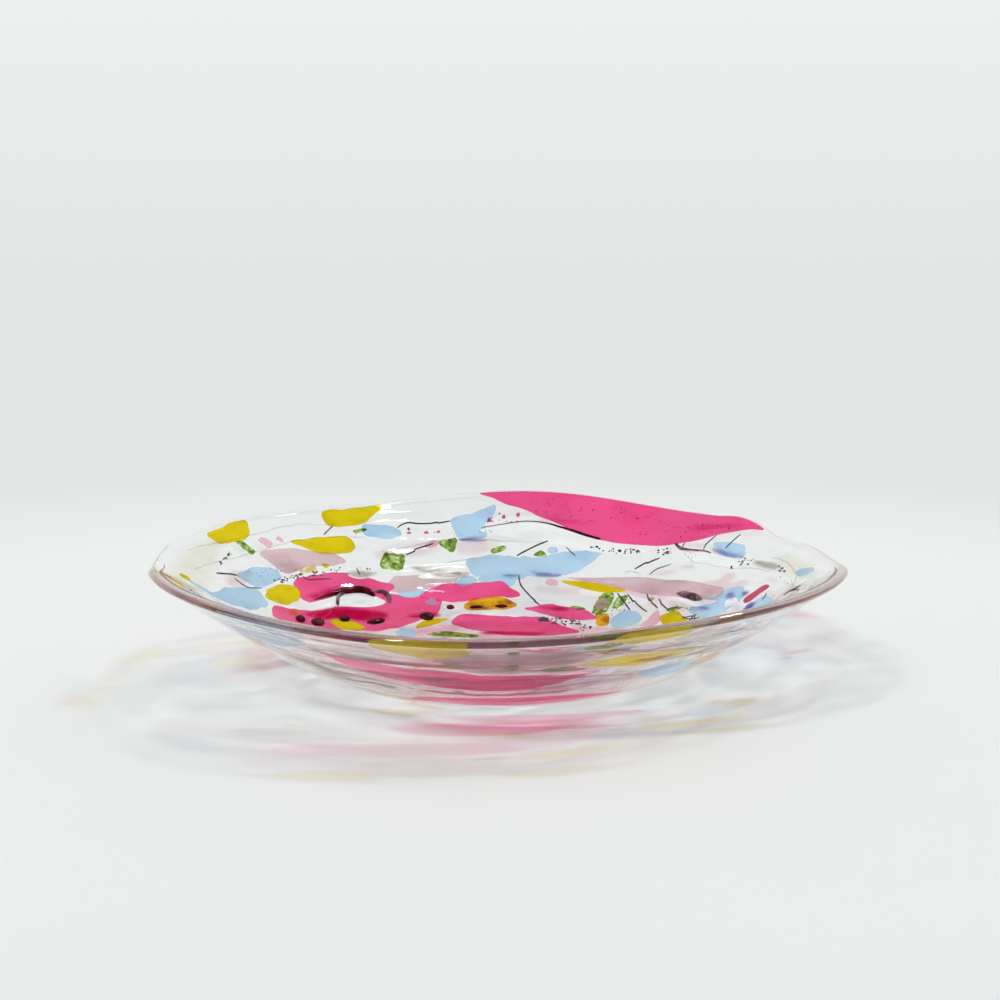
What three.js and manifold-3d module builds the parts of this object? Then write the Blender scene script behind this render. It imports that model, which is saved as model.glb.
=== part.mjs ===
// A fused and slumped art-glass bowl: one clear blank with a wavy, fire-polished rim, and the cut shards of
// coloured sheet glass, the frit chips and the black stringers that are laid out on its inner face.
// Millimetres, +Z up. The origin is the middle of the flat foot, on the table. +Y is the back of the bowl,
// where the rim rises highest, and +X is its right-hand side, where the rim dips.
import * as THREE from "three";
import { mergeVertices } from "three/addons/utils/BufferGeometryUtils.js";
import Module from "manifold-3d";

const wasm = await Module();
wasm.setup();

// Driving dimensions.
const rimRadius = 197; // outer face, before the rim's waves
const rimHeight = 69; // outer face at the rim, before the rim's waves
const footRadius = 45; // flat ground foot
const wall = 5; // clear blank
const wallAngle = THREE.MathUtils.degToRad(34); // straight part of the wall, above the table
const shardThickness = 1.8;
const stringerDiameter = 1.3;
const seatGap = 0.6; // between a coloured piece and the clear glass that it lies on
const pieceGap = 0.5; // between neighbouring coloured pieces
const cornerRadius = 2.2; // a shard's cut corners, softened by the kiln
const rippleHeight = 1.1; // of the inner face

// How finely the blank is faceted.
const segmentsRound = 72;
const wallSteps = 7;
const bendSteps = 4;
const floorSteps = 3;
const edgeSteps = 3;
const cornerSteps = 2;

// The rim's slow waves: where each is centred, how far it spreads (both in degrees), and how far it pushes the
// rim out and up.
const rimWaves = [
  { at: 9, spread: 15, out: 0, up: -7.5 }, // the dipped lobe on the right
  { at: 28, spread: 7, out: -2, up: -5 }, // the notch behind it
  { at: 38, spread: 5, out: 0, up: 2 },
  { at: 53, spread: 13, out: 0, up: -1.5 },
  { at: 84, spread: 20, out: 0, up: 6 }, // the crest at the back
  { at: 148, spread: 22, out: 0, up: 2 },
  { at: 180, spread: 9, out: 0, up: -6 }, // the lip on the left
  { at: 262, spread: 36, out: 0, up: -6.5 }, // the low front
];

// The inner face's ripples: a few long waves across the bowl, each with a length and a direction.
const ripples = [
  { length: 86, direction: 100, share: 0.5 },
  { length: 64, direction: 35, share: 0.3 },
  { length: 118, direction: 160, share: 0.4 },
];

const { sin, cos, tan, hypot, min, max, PI } = Math;
const turns = (degrees) => THREE.MathUtils.degToRad(degrees);

// The bend between the foot and the straight wall, sized so that the wall reaches the rim.
const bendRadius =
  (tan(wallAngle) * (rimRadius - footRadius) - rimHeight) /
  (tan(wallAngle) * sin(wallAngle) - (1 - cos(wallAngle)));
const bendEnd = new THREE.Vector2(
  footRadius + bendRadius * sin(wallAngle),
  bendRadius * (1 - cos(wallAngle)),
);
const rimEnd = new THREE.Vector2(rimRadius, rimHeight);

// The outer face from the axis to the rim, moved inwards along its own normal by `depth`.
function face(depth) {
  const points = [];
  for (let i = 0; i < floorSteps; i++) {
    points.push(new THREE.Vector2((footRadius * i) / floorSteps, depth));
  }
  for (let i = 0; i < bendSteps; i++) {
    const a = (wallAngle * i) / bendSteps;
    points.push(
      new THREE.Vector2(
        footRadius + (bendRadius - depth) * sin(a),
        bendRadius - (bendRadius - depth) * cos(a),
      ),
    );
  }
  const inwards = new THREE.Vector2(-sin(wallAngle), cos(wallAngle)).multiplyScalar(depth);
  for (let i = 0; i <= wallSteps; i++) {
    points.push(bendEnd.clone().lerp(rimEnd, i / wallSteps).add(inwards));
  }
  return points;
}

// The rounded edge that joins the outer face to the inner face at the rim.
function firePolishedEdge() {
  const inwards = new THREE.Vector2(-sin(wallAngle), cos(wallAngle)).multiplyScalar(wall / 2);
  const middle = rimEnd.clone().add(inwards);
  return Array.from({ length: edgeSteps }, (_, i) => {
    const a = wallAngle - PI / 2 + (PI * (i + 1)) / (edgeSteps + 1);
    return middle.clone().add(new THREE.Vector2(cos(a), sin(a)).multiplyScalar(wall / 2));
  });
}

// The push of all the rim's waves in one direction round the bowl.
function rimPush(angle) {
  const push = { out: 0, up: 0 };
  for (const wave of rimWaves) {
    const away = THREE.MathUtils.euclideanModulo(angle - turns(wave.at) + PI, 2 * PI) - PI;
    const share = Math.exp(-((away / turns(wave.spread)) ** 2));
    push.out += wave.out * share;
    push.up += wave.up * share;
  }
  return push;
}

// The rise of the inner face's ripples at a point seen from above. They die out at the rim.
function rippleRise(x, y) {
  const still = THREE.MathUtils.smoothstep(hypot(x, y), rimRadius * 0.78, rimRadius * 0.97);
  return ripples.reduce((rise, { length, direction, share }) => {
    const along = x * cos(turns(direction)) + y * sin(turns(direction));
    return rise + rippleHeight * share * (1 - still) * sin((2 * PI * along) / length);
  }, 0);
}

// Spins a profile into a shell, then slumps it: the wall follows the rim's waves, more the nearer it is to the
// rim, and the points that belong to the inner face take its ripples.
function slumped(profile, firstRippled) {
  const shell = new THREE.LatheGeometry(profile, segmentsRound);
  const place = shell.attributes.position;
  for (let i = 0; i < place.count; i++) {
    const x = place.getX(i);
    const y = -place.getZ(i);
    const r = hypot(x, y);
    const push = rimPush(Math.atan2(y, x));
    const share = max(0, min(1, (r - footRadius) / (rimRadius - footRadius))) ** 2;
    const grow = r > 0 ? 1 + (push.out * share) / r : 1;
    const rippled = i % profile.length >= firstRippled;
    const z = place.getY(i) + push.up * share + (rippled ? rippleRise(x, y) : 0);
    place.setXYZ(i, x * grow, y * grow, z);
  }
  return shell;
}

// A closed geometry as a solid for joining and cutting, and back again.
function toSolid(geometry) {
  const bare = new THREE.BufferGeometry().setAttribute("position", geometry.getAttribute("position"));
  if (geometry.index) bare.setIndex(geometry.index);
  const merged = mergeVertices(bare, 1e-4);
  const kept = [];
  const corner = merged.index.array;
  for (let i = 0; i < corner.length; i += 3) {
    const [a, b, c] = corner.slice(i, i + 3);
    if (a !== b && b !== c && c !== a) kept.push(a, b, c);
  }
  return new wasm.Manifold(
    new wasm.Mesh({
      numProp: 3,
      vertProperties: merged.attributes.position.array,
      triVerts: new Uint32Array(kept),
    }),
  );
}

function toGeometry(solid) {
  const { vertProperties, triVerts } = solid.getMesh();
  const geometry = new THREE.BufferGeometry()
    .setAttribute("position", new THREE.BufferAttribute(vertProperties, 3))
    .setIndex(new THREE.BufferAttribute(triVerts, 1));
  geometry.computeVertexNormals();
  return geometry;
}

const glass = (color, roughness = 0.06) =>
  new THREE.MeshStandardMaterial({ color, roughness, metalness: 0, transparent: true, opacity: 0.8 });
const clear = new THREE.MeshStandardMaterial({
  color: 0xeef2f0,
  roughness: 0.04,
  metalness: 0,
  transparent: true,
  opacity: 0.25,
});
const pink = glass(0xe0287c);
const yellow = glass(0xe6cf14);
const amber = glass(0xe09a12);
const blue = glass(0xa9cbf0);
const mauve = glass(0xc9a3b4);
const green = glass(0x79b83a, 0.25);
const red = glass(0xc81440);
const black = glass(0x141414, 0.12);

const bowl = new THREE.Group();

function add(name, geometry, material) {
  const mesh = new THREE.Mesh(geometry, material);
  mesh.name = name;
  bowl.add(mesh);
  return mesh;
}

// The clear blank.
const outerFace = face(0);
const innerFace = face(wall).reverse();
const blankProfile = [...outerFace, ...firePolishedEdge(), ...innerFace];
const blank = add("clear_blank", slumped(blankProfile, outerFace.length + edgeSteps), clear);

// The layer that the shards are cut from. It lies on the blank's inner face, a seat gap above it.
const layer = toSolid(
  slumped([...face(wall + seatGap), ...face(wall + seatGap + shardThickness).reverse()], 0),
);

// The rim's own reach in one direction, and the point a share of the way out to it.
const reach = (degrees) => rimRadius + rimPush(turns(degrees)).out;
function spot(degrees, share) {
  const r = reach(degrees) * share;
  return new THREE.Vector2(r * cos(turns(degrees)), r * sin(turns(degrees)));
}

// The corners of a shard's outline, in mm on a bowl of the layout's size, which grow with the rim.
const layoutRadius = 197; // of the rim that the shards are laid out for
const onThisBowl = ([along, out]) => new THREE.Vector2(along, out).multiplyScalar(rimRadius / layoutRadius);

// A straight-sided outline with softened corners.
function softened(corners) {
  const shape = new THREE.Shape();
  corners.forEach((corner, i) => {
    const before = corners[(i + corners.length - 1) % corners.length];
    const after = corners[(i + 1) % corners.length];
    const cut = min(cornerRadius, corner.distanceTo(before) / 3, corner.distanceTo(after) / 3);
    const start = corner.clone().add(before.clone().sub(corner).setLength(cut));
    const end = corner.clone().add(after.clone().sub(corner).setLength(cut));
    if (i === 0) shape.moveTo(start.x, start.y);
    else shape.lineTo(start.x, start.y);
    shape.quadraticCurveTo(corner.x, corner.y, end.x, end.y);
  });
  shape.closePath();
  return shape;
}

// The same outline with every side moved out by the gap between neighbouring pieces.
const longestCorner = 2.5; // a sharp corner moves out by at most this many gaps
function grown(corners) {
  const turning = THREE.ShapeUtils.area(corners) > 0 ? 1 : -1;
  const outwards = (from, to) => {
    const way = to.clone().sub(from).normalize();
    return new THREE.Vector2(way.y, -way.x).multiplyScalar(turning);
  };
  return corners.map((corner, i) => {
    const before = corners[(i + corners.length - 1) % corners.length];
    const after = corners[(i + 1) % corners.length];
    const normal = outwards(before, corner);
    const bisector = outwards(corner, after).add(normal).normalize();
    const gaps = 1 / max(bisector.dot(normal), 1 / longestCorner);
    return bisector.multiplyScalar(gaps * pieceGap).add(corner);
  });
}

// An upright prism through the layer, over an outline whose points run [along the rim, out to the rim].
const prismBottom = -2 * wall;
const prismTop = 2 * (rimHeight + wall);
function prism(outline, degrees, share) {
  const { x, y } = spot(degrees, share);
  return toSolid(
    new THREE.ExtrudeGeometry(outline, {
      depth: prismTop - prismBottom,
      bevelEnabled: false,
      curveSegments: cornerSteps,
    })
      .rotateZ(turns(degrees - 90))
      .translate(x, y, prismBottom),
  );
}

const cutters = []; // the room that each shard takes up, for the pieces laid after it
function trimmed(solid) {
  let left = solid;
  for (const cutter of cutters) left = left.subtract(cutter);
  return left.decompose().reduce((a, b) => (a.volume() > b.volume() ? a : b));
}

// Lays one shard. Pieces laid earlier keep their shape, and a later one is cut back to clear them.
function shard(name, material, degrees, share, points) {
  const corners = points.map(onThisBowl);
  const piece = trimmed(layer.intersect(prism(softened(corners), degrees, share)));
  add(name, toGeometry(piece), material);
  cutters.push(prism(softened(grown(corners)), degrees, share));
}

// The shards, each with its place as degrees round the bowl and a share of the way from the middle to the rim,
// and the corners of its outline in mm from that place, as [along the rim, out to the rim].

// The back wall.
shard("pink_band_back_rim", pink, 61, 0.87, [
  [-99, -5],
  [-70, 22],
  [0, 40],
  [70, 22],
  [95, 4],
  [77, -4],
  [50, -5],
  [22, -3],
  [-19, -4],
  [-60, -2],
]);
shard("yellow_flag_left_rim", yellow, 150, 0.945, [
  [-23, 2],
  [8, 6],
  [22, 5],
  [13, -4],
  [1, -6],
  [-20, -5],
]);
shard("yellow_flag_back_rim", yellow, 120, 0.94, [
  [-19, 5],
  [-2, 6],
  [25, 5],
  [14, -1],
  [5, -6],
  [-20, -6],
]);
shard("yellow_fish_back", yellow, 128.5, 0.845, [
  [-29, 4],
  [1, 6],
  [16, 4],
  [16, -4],
  [6, -7],
  [-14, -5],
]);
shard("blue_chip_back_left", blue, 115, 0.875, [
  [-11, 6],
  [8, 3],
  [13, -3],
  [2, -5],
  [-13, -2],
]);
shard("blue_hook_back", blue, 95, 0.872, [
  [-15, 5],
  [-2, 7],
  [15, 13],
  [11, 5],
  [5, 0],
  [8, -9],
  [-10, -11],
  [-12, -4],
]);
shard("blue_slab_back", blue, 91, 0.715, [
  [-18, 5],
  [0, 8],
  [9, 6],
  [9, -7],
  [-13, -6],
]);
shard("blue_fin_back", blue, 76, 0.725, [
  [-22, 4],
  [-13, 3],
  [3, 9],
  [31, 13],
  [24, 4],
  [18, -2],
  [4, -7],
  [-20, -10],
]);
shard("mauve_blade_right", mauve, 46, 0.69, [
  [-69, -17],
  [-40, 0],
  [-7, 10],
  [32, 12],
  [56, 7],
  [52, -4],
  [33, -3],
  [8, 0],
  [-22, -4],
  [-49, -11],
]);
shard("blue_chip_right", blue, 35, 0.88, [
  [-17, 0],
  [6, 6],
  [13, 0],
  [-2, -5],
]);
shard("blue_chip_right_lobe", blue, 9, 0.92, [
  [-10, -3],
  [0, 4],
  [10, 2],
  [2, -4],
]);

// The left wall.
shard("mauve_leaf_left", mauve, 140, 0.805, [
  [-26, 9],
  [-1, 9],
  [30, -2],
  [34, -9],
  [4, -5],
  [-20, -8],
]);
shard("blue_chip_left", blue, 156, 0.785, [
  [-19, 6],
  [4, 7],
  [19, 1],
  [17, -5],
  [-12, -5],
]);
shard("blue_sheet_left", blue, 172, 0.765, [
  [-22, 13],
  [0, 9],
  [28, -3],
  [19, -12],
  [-8, -7],
  [-20, 5],
]);
shard("yellow_pebble_left", yellow, 155, 0.715, [
  [-18, 2],
  [-8, 6],
  [8, 5],
  [18, 0],
  [12, -5],
  [-6, -6],
]);
shard("yellow_chip_left_rim", yellow, 189, 0.93, [
  [-9, 3],
  [6, 5],
  [9, -3],
  [-6, -5],
]);
shard("pink_leaf_left", pink, 135, 0.68, [
  [-40, 0],
  [-28, 10],
  [2, 13],
  [18, 9],
  [38, -6],
  [20, -12],
  [-8, -8],
  [-30, -8],
]);

// The lower back wall, towards the floor.
shard("mauve_ribbon_back", mauve, 111, 0.68, [
  [-31, -5],
  [-13, 5],
  [12, 6],
  [28, 2],
  [20, -4],
  [-18, -7],
]);
shard("blue_pebble_back", blue, 115, 0.64, [
  [-10, 1],
  [0, 4],
  [11, 1],
  [2, -4],
  [-7, -3],
]);
shard("pink_leaf_back", pink, 99, 0.625, [
  [-33, -4],
  [-13, 7],
  [22, 4],
  [33, -10],
  [16, -6],
  [-12, -7],
]);
shard("amber_lozenge_back", amber, 93, 0.565, [
  [-16, -1],
  [-9, 5],
  [8, 5],
  [18, -2],
  [10, -6],
  [-11, -5],
]);
shard("pink_sheet_left", pink, 137, 0.56, [
  [-72, 2],
  [-60, 14],
  [-30, 11],
  [6, 12],
  [34, 12],
  [62, -6],
  [44, -17],
  [12, -13],
  [-22, -6],
]);
shard("pink_blade_back", pink, 87, 0.455, [
  [-34, 0],
  [-28, 10],
  [-10, 10],
  [20, 8],
  [46, -10],
  [26, -12],
  [0, -10],
]);
shard("pink_leaf_right", pink, 69, 0.545, [
  [-24, -3],
  [-9, 5],
  [14, 5],
  [25, -2],
  [6, -6],
]);
shard("amber_drop_right", amber, 55, 0.545, [
  [-6, 5],
  [2, 6],
  [9, -4],
  [2, -6],
]);
shard("yellow_blade_right", yellow, 62, 0.675, [
  [-20, 0],
  [-3, 4],
  [26, 0],
  [4, -4],
]);
shard("blue_pebble_right", blue, 46, 0.565, [
  [-11, -2],
  [-8, 6],
  [2, 8],
  [11, 2],
  [8, -7],
  [-4, -8],
]);
shard("yellow_chip_right", yellow, 29, 0.61, [
  [-13, -2],
  [-4, 5],
  [14, 1],
  [3, -6],
]);
shard("blue_cloud_right", blue, 21, 0.715, [
  [-22, -6],
  [-14, 6],
  [2, 14],
  [14, 10],
  [16, -4],
  [6, -12],
  [-12, -14],
]);
shard("red_strip_right", red, 12.5, 0.785, [
  [-4, -7],
  [-6, 7],
  [1, 8],
  [3, -7],
]);
shard("blue_block_right", blue, 6, 0.765, [
  [-10, -8],
  [-9, 7],
  [10, 7],
  [12, -6],
]);

// The floor.
shard("mauve_sheet_floor", mauve, 330, 0.22, [
  [-38, -8],
  [-14, 14],
  [24, 12],
  [40, -6],
  [8, -16],
]);
shard("yellow_blade_floor", yellow, 150, 0.2, [
  [-30, -4],
  [-8, 8],
  [28, 6],
  [34, -3],
  [0, -8],
]);
shard("blue_sheet_floor", blue, 60, 0.32, [
  [-28, -6],
  [-20, 10],
  [18, 12],
  [30, -2],
  [6, -11],
]);

// The front wall.
shard("pink_blade_front", pink, 258, 0.73, [
  [-74, -17],
  [-52, -2],
  [-8, 12],
  [30, 15],
  [60, 11],
  [44, -1],
  [4, -7],
  [-46, -18],
]);
shard("mauve_sheet_front", mauve, 273, 0.84, [
  [-40, 3],
  [-22, 15],
  [20, 16],
  [42, 3],
  [24, -10],
  [-22, -9],
]);
shard("yellow_flag_front_rim", yellow, 258, 0.935, [
  [-24, -6],
  [-22, 10],
  [23, 12],
  [26, 0],
  [-2, -9],
]);
shard("yellow_blade_front", yellow, 298, 0.81, [
  [-34, -3],
  [-12, 7],
  [16, 7],
  [36, -4],
  [2, -6],
]);
shard("yellow_rind_front_rim", yellow, 294, 0.95, [
  [-23, -3],
  [-20, 6],
  [4, 8],
  [26, 3],
  [6, -4],
]);
shard("amber_chip_front_right", amber, 322, 0.71, [
  [-12, -6],
  [-9, 6],
  [10, 7],
  [14, -3],
]);
shard("blue_blade_front_left", blue, 226, 0.86, [
  [-30, 2],
  [-10, 9],
  [24, 5],
  [34, -4],
  [2, -7],
]);
shard("blue_sheet_front_right", blue, 312, 0.70, [
  [-24, -6],
  [-12, 8],
  [16, 9],
  [26, -1],
  [2, -10],
]);

// Chips of coarse green frit.
shard("green_chip_left", green, 150.5, 0.895, [
  [-3, 5],
  [2, 5],
  [4, -6],
  [-2, -6],
]);
shard("green_chip_back_left", green, 116, 0.76, [
  [-10, -3],
  [-3, 7],
  [11, 5],
  [4, -5],
]);
shard("green_chip_back", green, 101, 0.805, [
  [-8, 4],
  [6, 4],
  [1, -5],
]);
shard("green_chip_right", green, 57.5, 0.61, [
  [-4, -9],
  [-5, 7],
  [3, 9],
  [5, -5],
]);

// The stringers: thin black rods that slump onto the inner face. Their points are [degrees, share] as above.
const rodHalfTurn = 3; // faces
const rodStep = 5; // along the rod
const rayStart = 4 * rimHeight;
const down = new THREE.Vector3(0, 0, -1);

// The height of the blank's inner face at a point seen from above.
function seatHeight(x, y) {
  const ray = new THREE.Raycaster(new THREE.Vector3(x, y, rayStart), down);
  return ray.intersectObject(blank)[0].point.z;
}

function stringer(name, ...places) {
  const plan = new THREE.CatmullRomCurve3(
    places.map(([degrees, share]) => new THREE.Vector3(...spot(degrees, share).toArray(), 0)),
  );
  const steps = Math.ceil(plan.getLength() / rodStep);
  const lift = (seatGap + stringerDiameter / 2) / cos(wallAngle);
  const path = new THREE.CatmullRomCurve3(
    plan.getSpacedPoints(steps).map(({ x, y }) => new THREE.Vector3(x, y, seatHeight(x, y) + lift)),
  );
  const section = new THREE.Shape().absarc(0, 0, stringerDiameter / 2, 0, 2 * PI);
  const rod = new THREE.ExtrudeGeometry(section, {
    extrudePath: path,
    steps,
    curveSegments: rodHalfTurn,
    bevelEnabled: false,
  });
  add(name, toGeometry(trimmed(toSolid(rod))), black);
}

stringer("stringer_back_wavy", [111.5, 0.885], [109.5, 0.9], [106.5, 0.895], [103, 0.89], [99.5, 0.89]);
stringer("stringer_back_short", [128.5, 0.885], [126, 0.905], [124, 0.92]);
stringer("stringer_back_long", [119.5, 0.76], [112, 0.785], [108, 0.81], [104.5, 0.82]);
stringer("stringer_left", [168, 0.855], [163, 0.82], [161, 0.79], [160.5, 0.765]);
stringer("stringer_back_slant", [85.5, 0.75], [82, 0.785], [78.5, 0.81]);
stringer("stringer_back_bent", [84.5, 0.68], [83.5, 0.64], [80.5, 0.6], [76.5, 0.565]);
stringer("stringer_right_upper", [55, 0.745], [53, 0.775], [50.5, 0.8]);
stringer("stringer_right_first", [55.5, 0.655], [52, 0.632], [47, 0.6]);
stringer("stringer_right_second", [52.5, 0.66], [47, 0.63], [41, 0.605]);
stringer("stringer_right_third", [47, 0.675], [44, 0.65], [38.5, 0.625]);
stringer("stringer_right_fourth", [41.5, 0.66], [38, 0.64], [34.5, 0.63]);
stringer("stringer_front", [291, 0.885], [298, 0.872], [305, 0.88]);

export default bowl;
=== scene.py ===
import math

import bmesh
import bpy
import numpy as np
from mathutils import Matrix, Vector, noise
from mathutils.bvhtree import BVHTree
from mathutils.geometry import delaunay_2d_cdt


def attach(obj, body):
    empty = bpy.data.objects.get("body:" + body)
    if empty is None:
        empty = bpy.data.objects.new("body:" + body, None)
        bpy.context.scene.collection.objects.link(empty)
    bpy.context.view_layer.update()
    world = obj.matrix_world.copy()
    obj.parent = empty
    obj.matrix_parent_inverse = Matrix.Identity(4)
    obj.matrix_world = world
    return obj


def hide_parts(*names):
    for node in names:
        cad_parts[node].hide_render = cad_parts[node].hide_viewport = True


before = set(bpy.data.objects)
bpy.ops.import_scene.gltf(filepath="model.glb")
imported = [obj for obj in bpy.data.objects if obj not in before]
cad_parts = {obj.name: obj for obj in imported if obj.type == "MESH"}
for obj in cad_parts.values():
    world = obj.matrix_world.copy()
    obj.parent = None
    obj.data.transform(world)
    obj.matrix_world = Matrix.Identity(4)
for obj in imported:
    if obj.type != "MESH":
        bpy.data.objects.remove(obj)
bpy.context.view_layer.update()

MM = 0.001

# --------------------------------------------------------------------------------------------------
# The camera: a long lens, a little above the table, that looks down at the bowl from the front.

VIEW_DISTANCE = 1.5
VIEW_HEIGHT_ANGLE = math.radians(12.0)
AIM = Vector((0, 0, 0.036))
LENS = 94.2
BELOW_HORIZON = math.radians(9.40)
TURN = math.radians(-0.044)

camera_data = bpy.data.cameras.new("camera")
camera_data.lens = LENS
camera_data.sensor_width = 36
camera = bpy.data.objects.new("camera", camera_data)
back_off = Vector((0, -math.cos(VIEW_HEIGHT_ANGLE), math.sin(VIEW_HEIGHT_ANGLE)))
camera.location = AIM + VIEW_DISTANCE * back_off
camera.rotation_euler = (math.pi / 2 - BELOW_HORIZON, 0, TURN)
bpy.context.scene.collection.objects.link(camera)
bpy.context.scene.camera = camera
bpy.context.scene.view_settings.view_transform = "Standard"

# --------------------------------------------------------------------------------------------------
# The faces of the clear blank, read from the frame as smooth heights over the table.

blank_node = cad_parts["clear_blank"]


def merged(node):
    """A bmesh of a frame node with its loose triangles joined."""
    bm = bmesh.new()
    bm.from_mesh(node.data)
    bmesh.ops.remove_doubles(bm, verts=bm.verts, dist=0.002 * MM)
    bm.normal_update()
    return bm


joined = merged(blank_node)
blank_tree = BVHTree.FromBMesh(joined)
ROUND = 72  # the frame's own facets round the bowl
rim = {}
for v in joined.verts:
    step = round(math.atan2(v.co.y, v.co.x) / (2 * math.pi) * ROUND) % ROUND
    r = math.hypot(v.co.x, v.co.y)
    if step not in rim or r > rim[step][0]:
        rim[step] = (r, v.co.z)
joined.free()
rim_out = np.array([rim[i][0] for i in range(ROUND)])
rim_up = np.array([rim[i][1] for i in range(ROUND)])
WALL = blank_tree.ray_cast(Vector((0, 0, 1)), Vector((0, 0, -1)))[0].z
WALL_ANGLE = math.radians(34)
HALF = WALL / 2
NEARLY = 0.9995  # just short of a face's end, where a ray still meets it
inner_end = rim_out - HALF * (1 + math.sin(WALL_ANGLE))
outer_end = rim_out - HALF * (1 - math.sin(WALL_ANGLE))


NEIGHBOURS = (-1, 0, 1, 2)


def spline(a, b, c, d, f):
    """A smooth value at the share f of the way from b to c, between the neighbours a and d."""
    return b + 0.5 * f * (c - a + f * (2 * a - 5 * b + 4 * c - d + f * (3 * (b - c) + d - a)))


def between(values, place):
    """Smooth values round the bowl at fractional places along the first axis."""
    i = np.floor(place).astype(int)
    return spline(*(values[(i + k) % len(values)] for k in NEIGHBOURS), place - i)


class Face:
    """One face of the blank as a smooth height at any point seen from above."""

    STEPS = 26

    def __init__(self, reach, start, way):
        self.reach = reach
        self.grid = np.zeros((ROUND, self.STEPS + 3))
        for i in range(ROUND):
            a = 2 * math.pi * i / ROUND
            for j in range(self.STEPS + 1):
                r = reach[i] * min(j / self.STEPS, NEARLY)
                hit = blank_tree.ray_cast(Vector((r * math.cos(a), r * math.sin(a), start)), way)[0]
                self.grid[i, j + 1] = hit.z
        self.grid[:, 0] = np.roll(self.grid[:, 2], ROUND // 2)
        self.grid[:, -1] = 2 * self.grid[:, -2] - self.grid[:, -3]

    def height(self, x, y):
        place = np.arctan2(y, x) / (2 * math.pi) * ROUND
        share = np.hypot(x, y) / between(self.reach, place) * self.STEPS
        j = np.clip(np.floor(share), 0, self.STEPS - 1).astype(int)
        f = np.clip(share - j, 0, 1.3)
        i = np.floor(place).astype(int)
        rows = []
        for k in NEIGHBOURS:
            row = self.grid[(i + k) % ROUND]
            rows.append(spline(*(row[np.arange(len(j)), j + m] for m in range(4)), f))
        return spline(*rows, place - i)


inner = Face(inner_end, 1.0, Vector((0, 0, -1)))
outer = Face(outer_end, -1.0, Vector((0, 0, 1)))


def rim_reach(degrees):
    """How far out the inner face goes in one direction."""
    return between(inner_end, np.asarray(degrees, float) / 360 * ROUND)


def spot(degrees, share):
    """A point seen from above, by its direction and its share of the way out to the rim."""
    a = math.radians(degrees)
    r = float(rim_reach(degrees)) * share
    return np.array([r * math.cos(a), r * math.sin(a)])


# Folds: where the glass slumped over itself into a low shelf with a steep riser behind it. Each is its
# place as degrees round the bowl and a share of the way out, its half length and width, and its depth.
FOLDS = [
    (84, 0.87, 38 * MM, 10 * MM, 1.6 * MM),
    (42, 0.84, 20 * MM, 8 * MM, 1.6 * MM),
    (135, 0.66, 26 * MM, 10 * MM, 3.0 * MM),
    (107, 0.69, 16 * MM, 8 * MM, 2.0 * MM),
    (92, 0.55, 22 * MM, 8 * MM, 2.0 * MM),
    (150, 0.59, 24 * MM, 8 * MM, 2.2 * MM),
    (30, 0.66, 20 * MM, 9 * MM, 2.2 * MM),
    (119, 0.53, 22 * MM, 8 * MM, 2.0 * MM),
    (12, 0.72, 16 * MM, 8 * MM, 1.8 * MM),
    (92, 0.78, 30 * MM, 9 * MM, 1.2 * MM),
    (128, 0.86, 34 * MM, 10 * MM, 0.9 * MM),
]
SKEW = 0.35  # how much steeper a fold is on its riser than on its shelf
BOW = 0.35  # how far its ends curl back
CALM = 0.9  # the share of the way out from which the relief dies away
WAVES = ((0.35 * MM, 34 * MM, 1.7), (0.12 * MM, 12 * MM, 6.1))  # height, size and seed of the ripples


def noisy(x, y, size, seed):
    """Soft noise from -1 to 1 with features about `size` apart."""
    points = zip((x / size).tolist(), (y / size).tolist())
    return np.array([noise.noise(Vector((a, b, seed))) for a, b in points]) * 2


def relief(x, y):
    """How far the folds and ripples lift the inner face at points seen from above."""
    lift = np.zeros_like(x)
    for degrees, share, length, width, depth in FOLDS:
        a = math.radians(degrees)
        out_x, out_y = math.cos(a), math.sin(a)
        r = float(rim_reach(degrees)) * share
        dx, dy = x - r * out_x, y - r * out_y
        along = (dx * out_y - dy * out_x) / length
        out = (dx * out_x + dy * out_y) / width + BOW * along**2
        near = np.clip(1 - along**2, 0, 1) ** 1.5 * (np.abs(out) < 1)
        skewed = out + SKEW * (out**2 - 1)
        lift -= depth / 2 * near * np.sin(math.pi * skewed)
    r = np.hypot(x, y)
    share = r / between(inner_end, np.arctan2(y, x) / (2 * math.pi) * ROUND)
    calm = 1 - np.clip((share - CALM) / (1 - CALM), 0, 1) ** 2
    ripple = sum(height * noisy(x, y, size, seed) for height, size, seed in WAVES)
    return (lift + ripple) * calm


def inner_height(x, y):
    return inner.height(x, y) + relief(x, y)


def normals(x, y):
    """The inner face's normal at points seen from above."""
    e = 0.8 * MM
    dx = (inner_height(x + e, y) - inner_height(x - e, y)) / (2 * e)
    dy = (inner_height(x, y + e) - inner_height(x, y - e)) / (2 * e)
    n = np.stack([-dx, -dy, np.ones_like(dx)], -1)
    return n / np.linalg.norm(n, axis=1, keepdims=True)


# --------------------------------------------------------------------------------------------------
# Materials.


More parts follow.
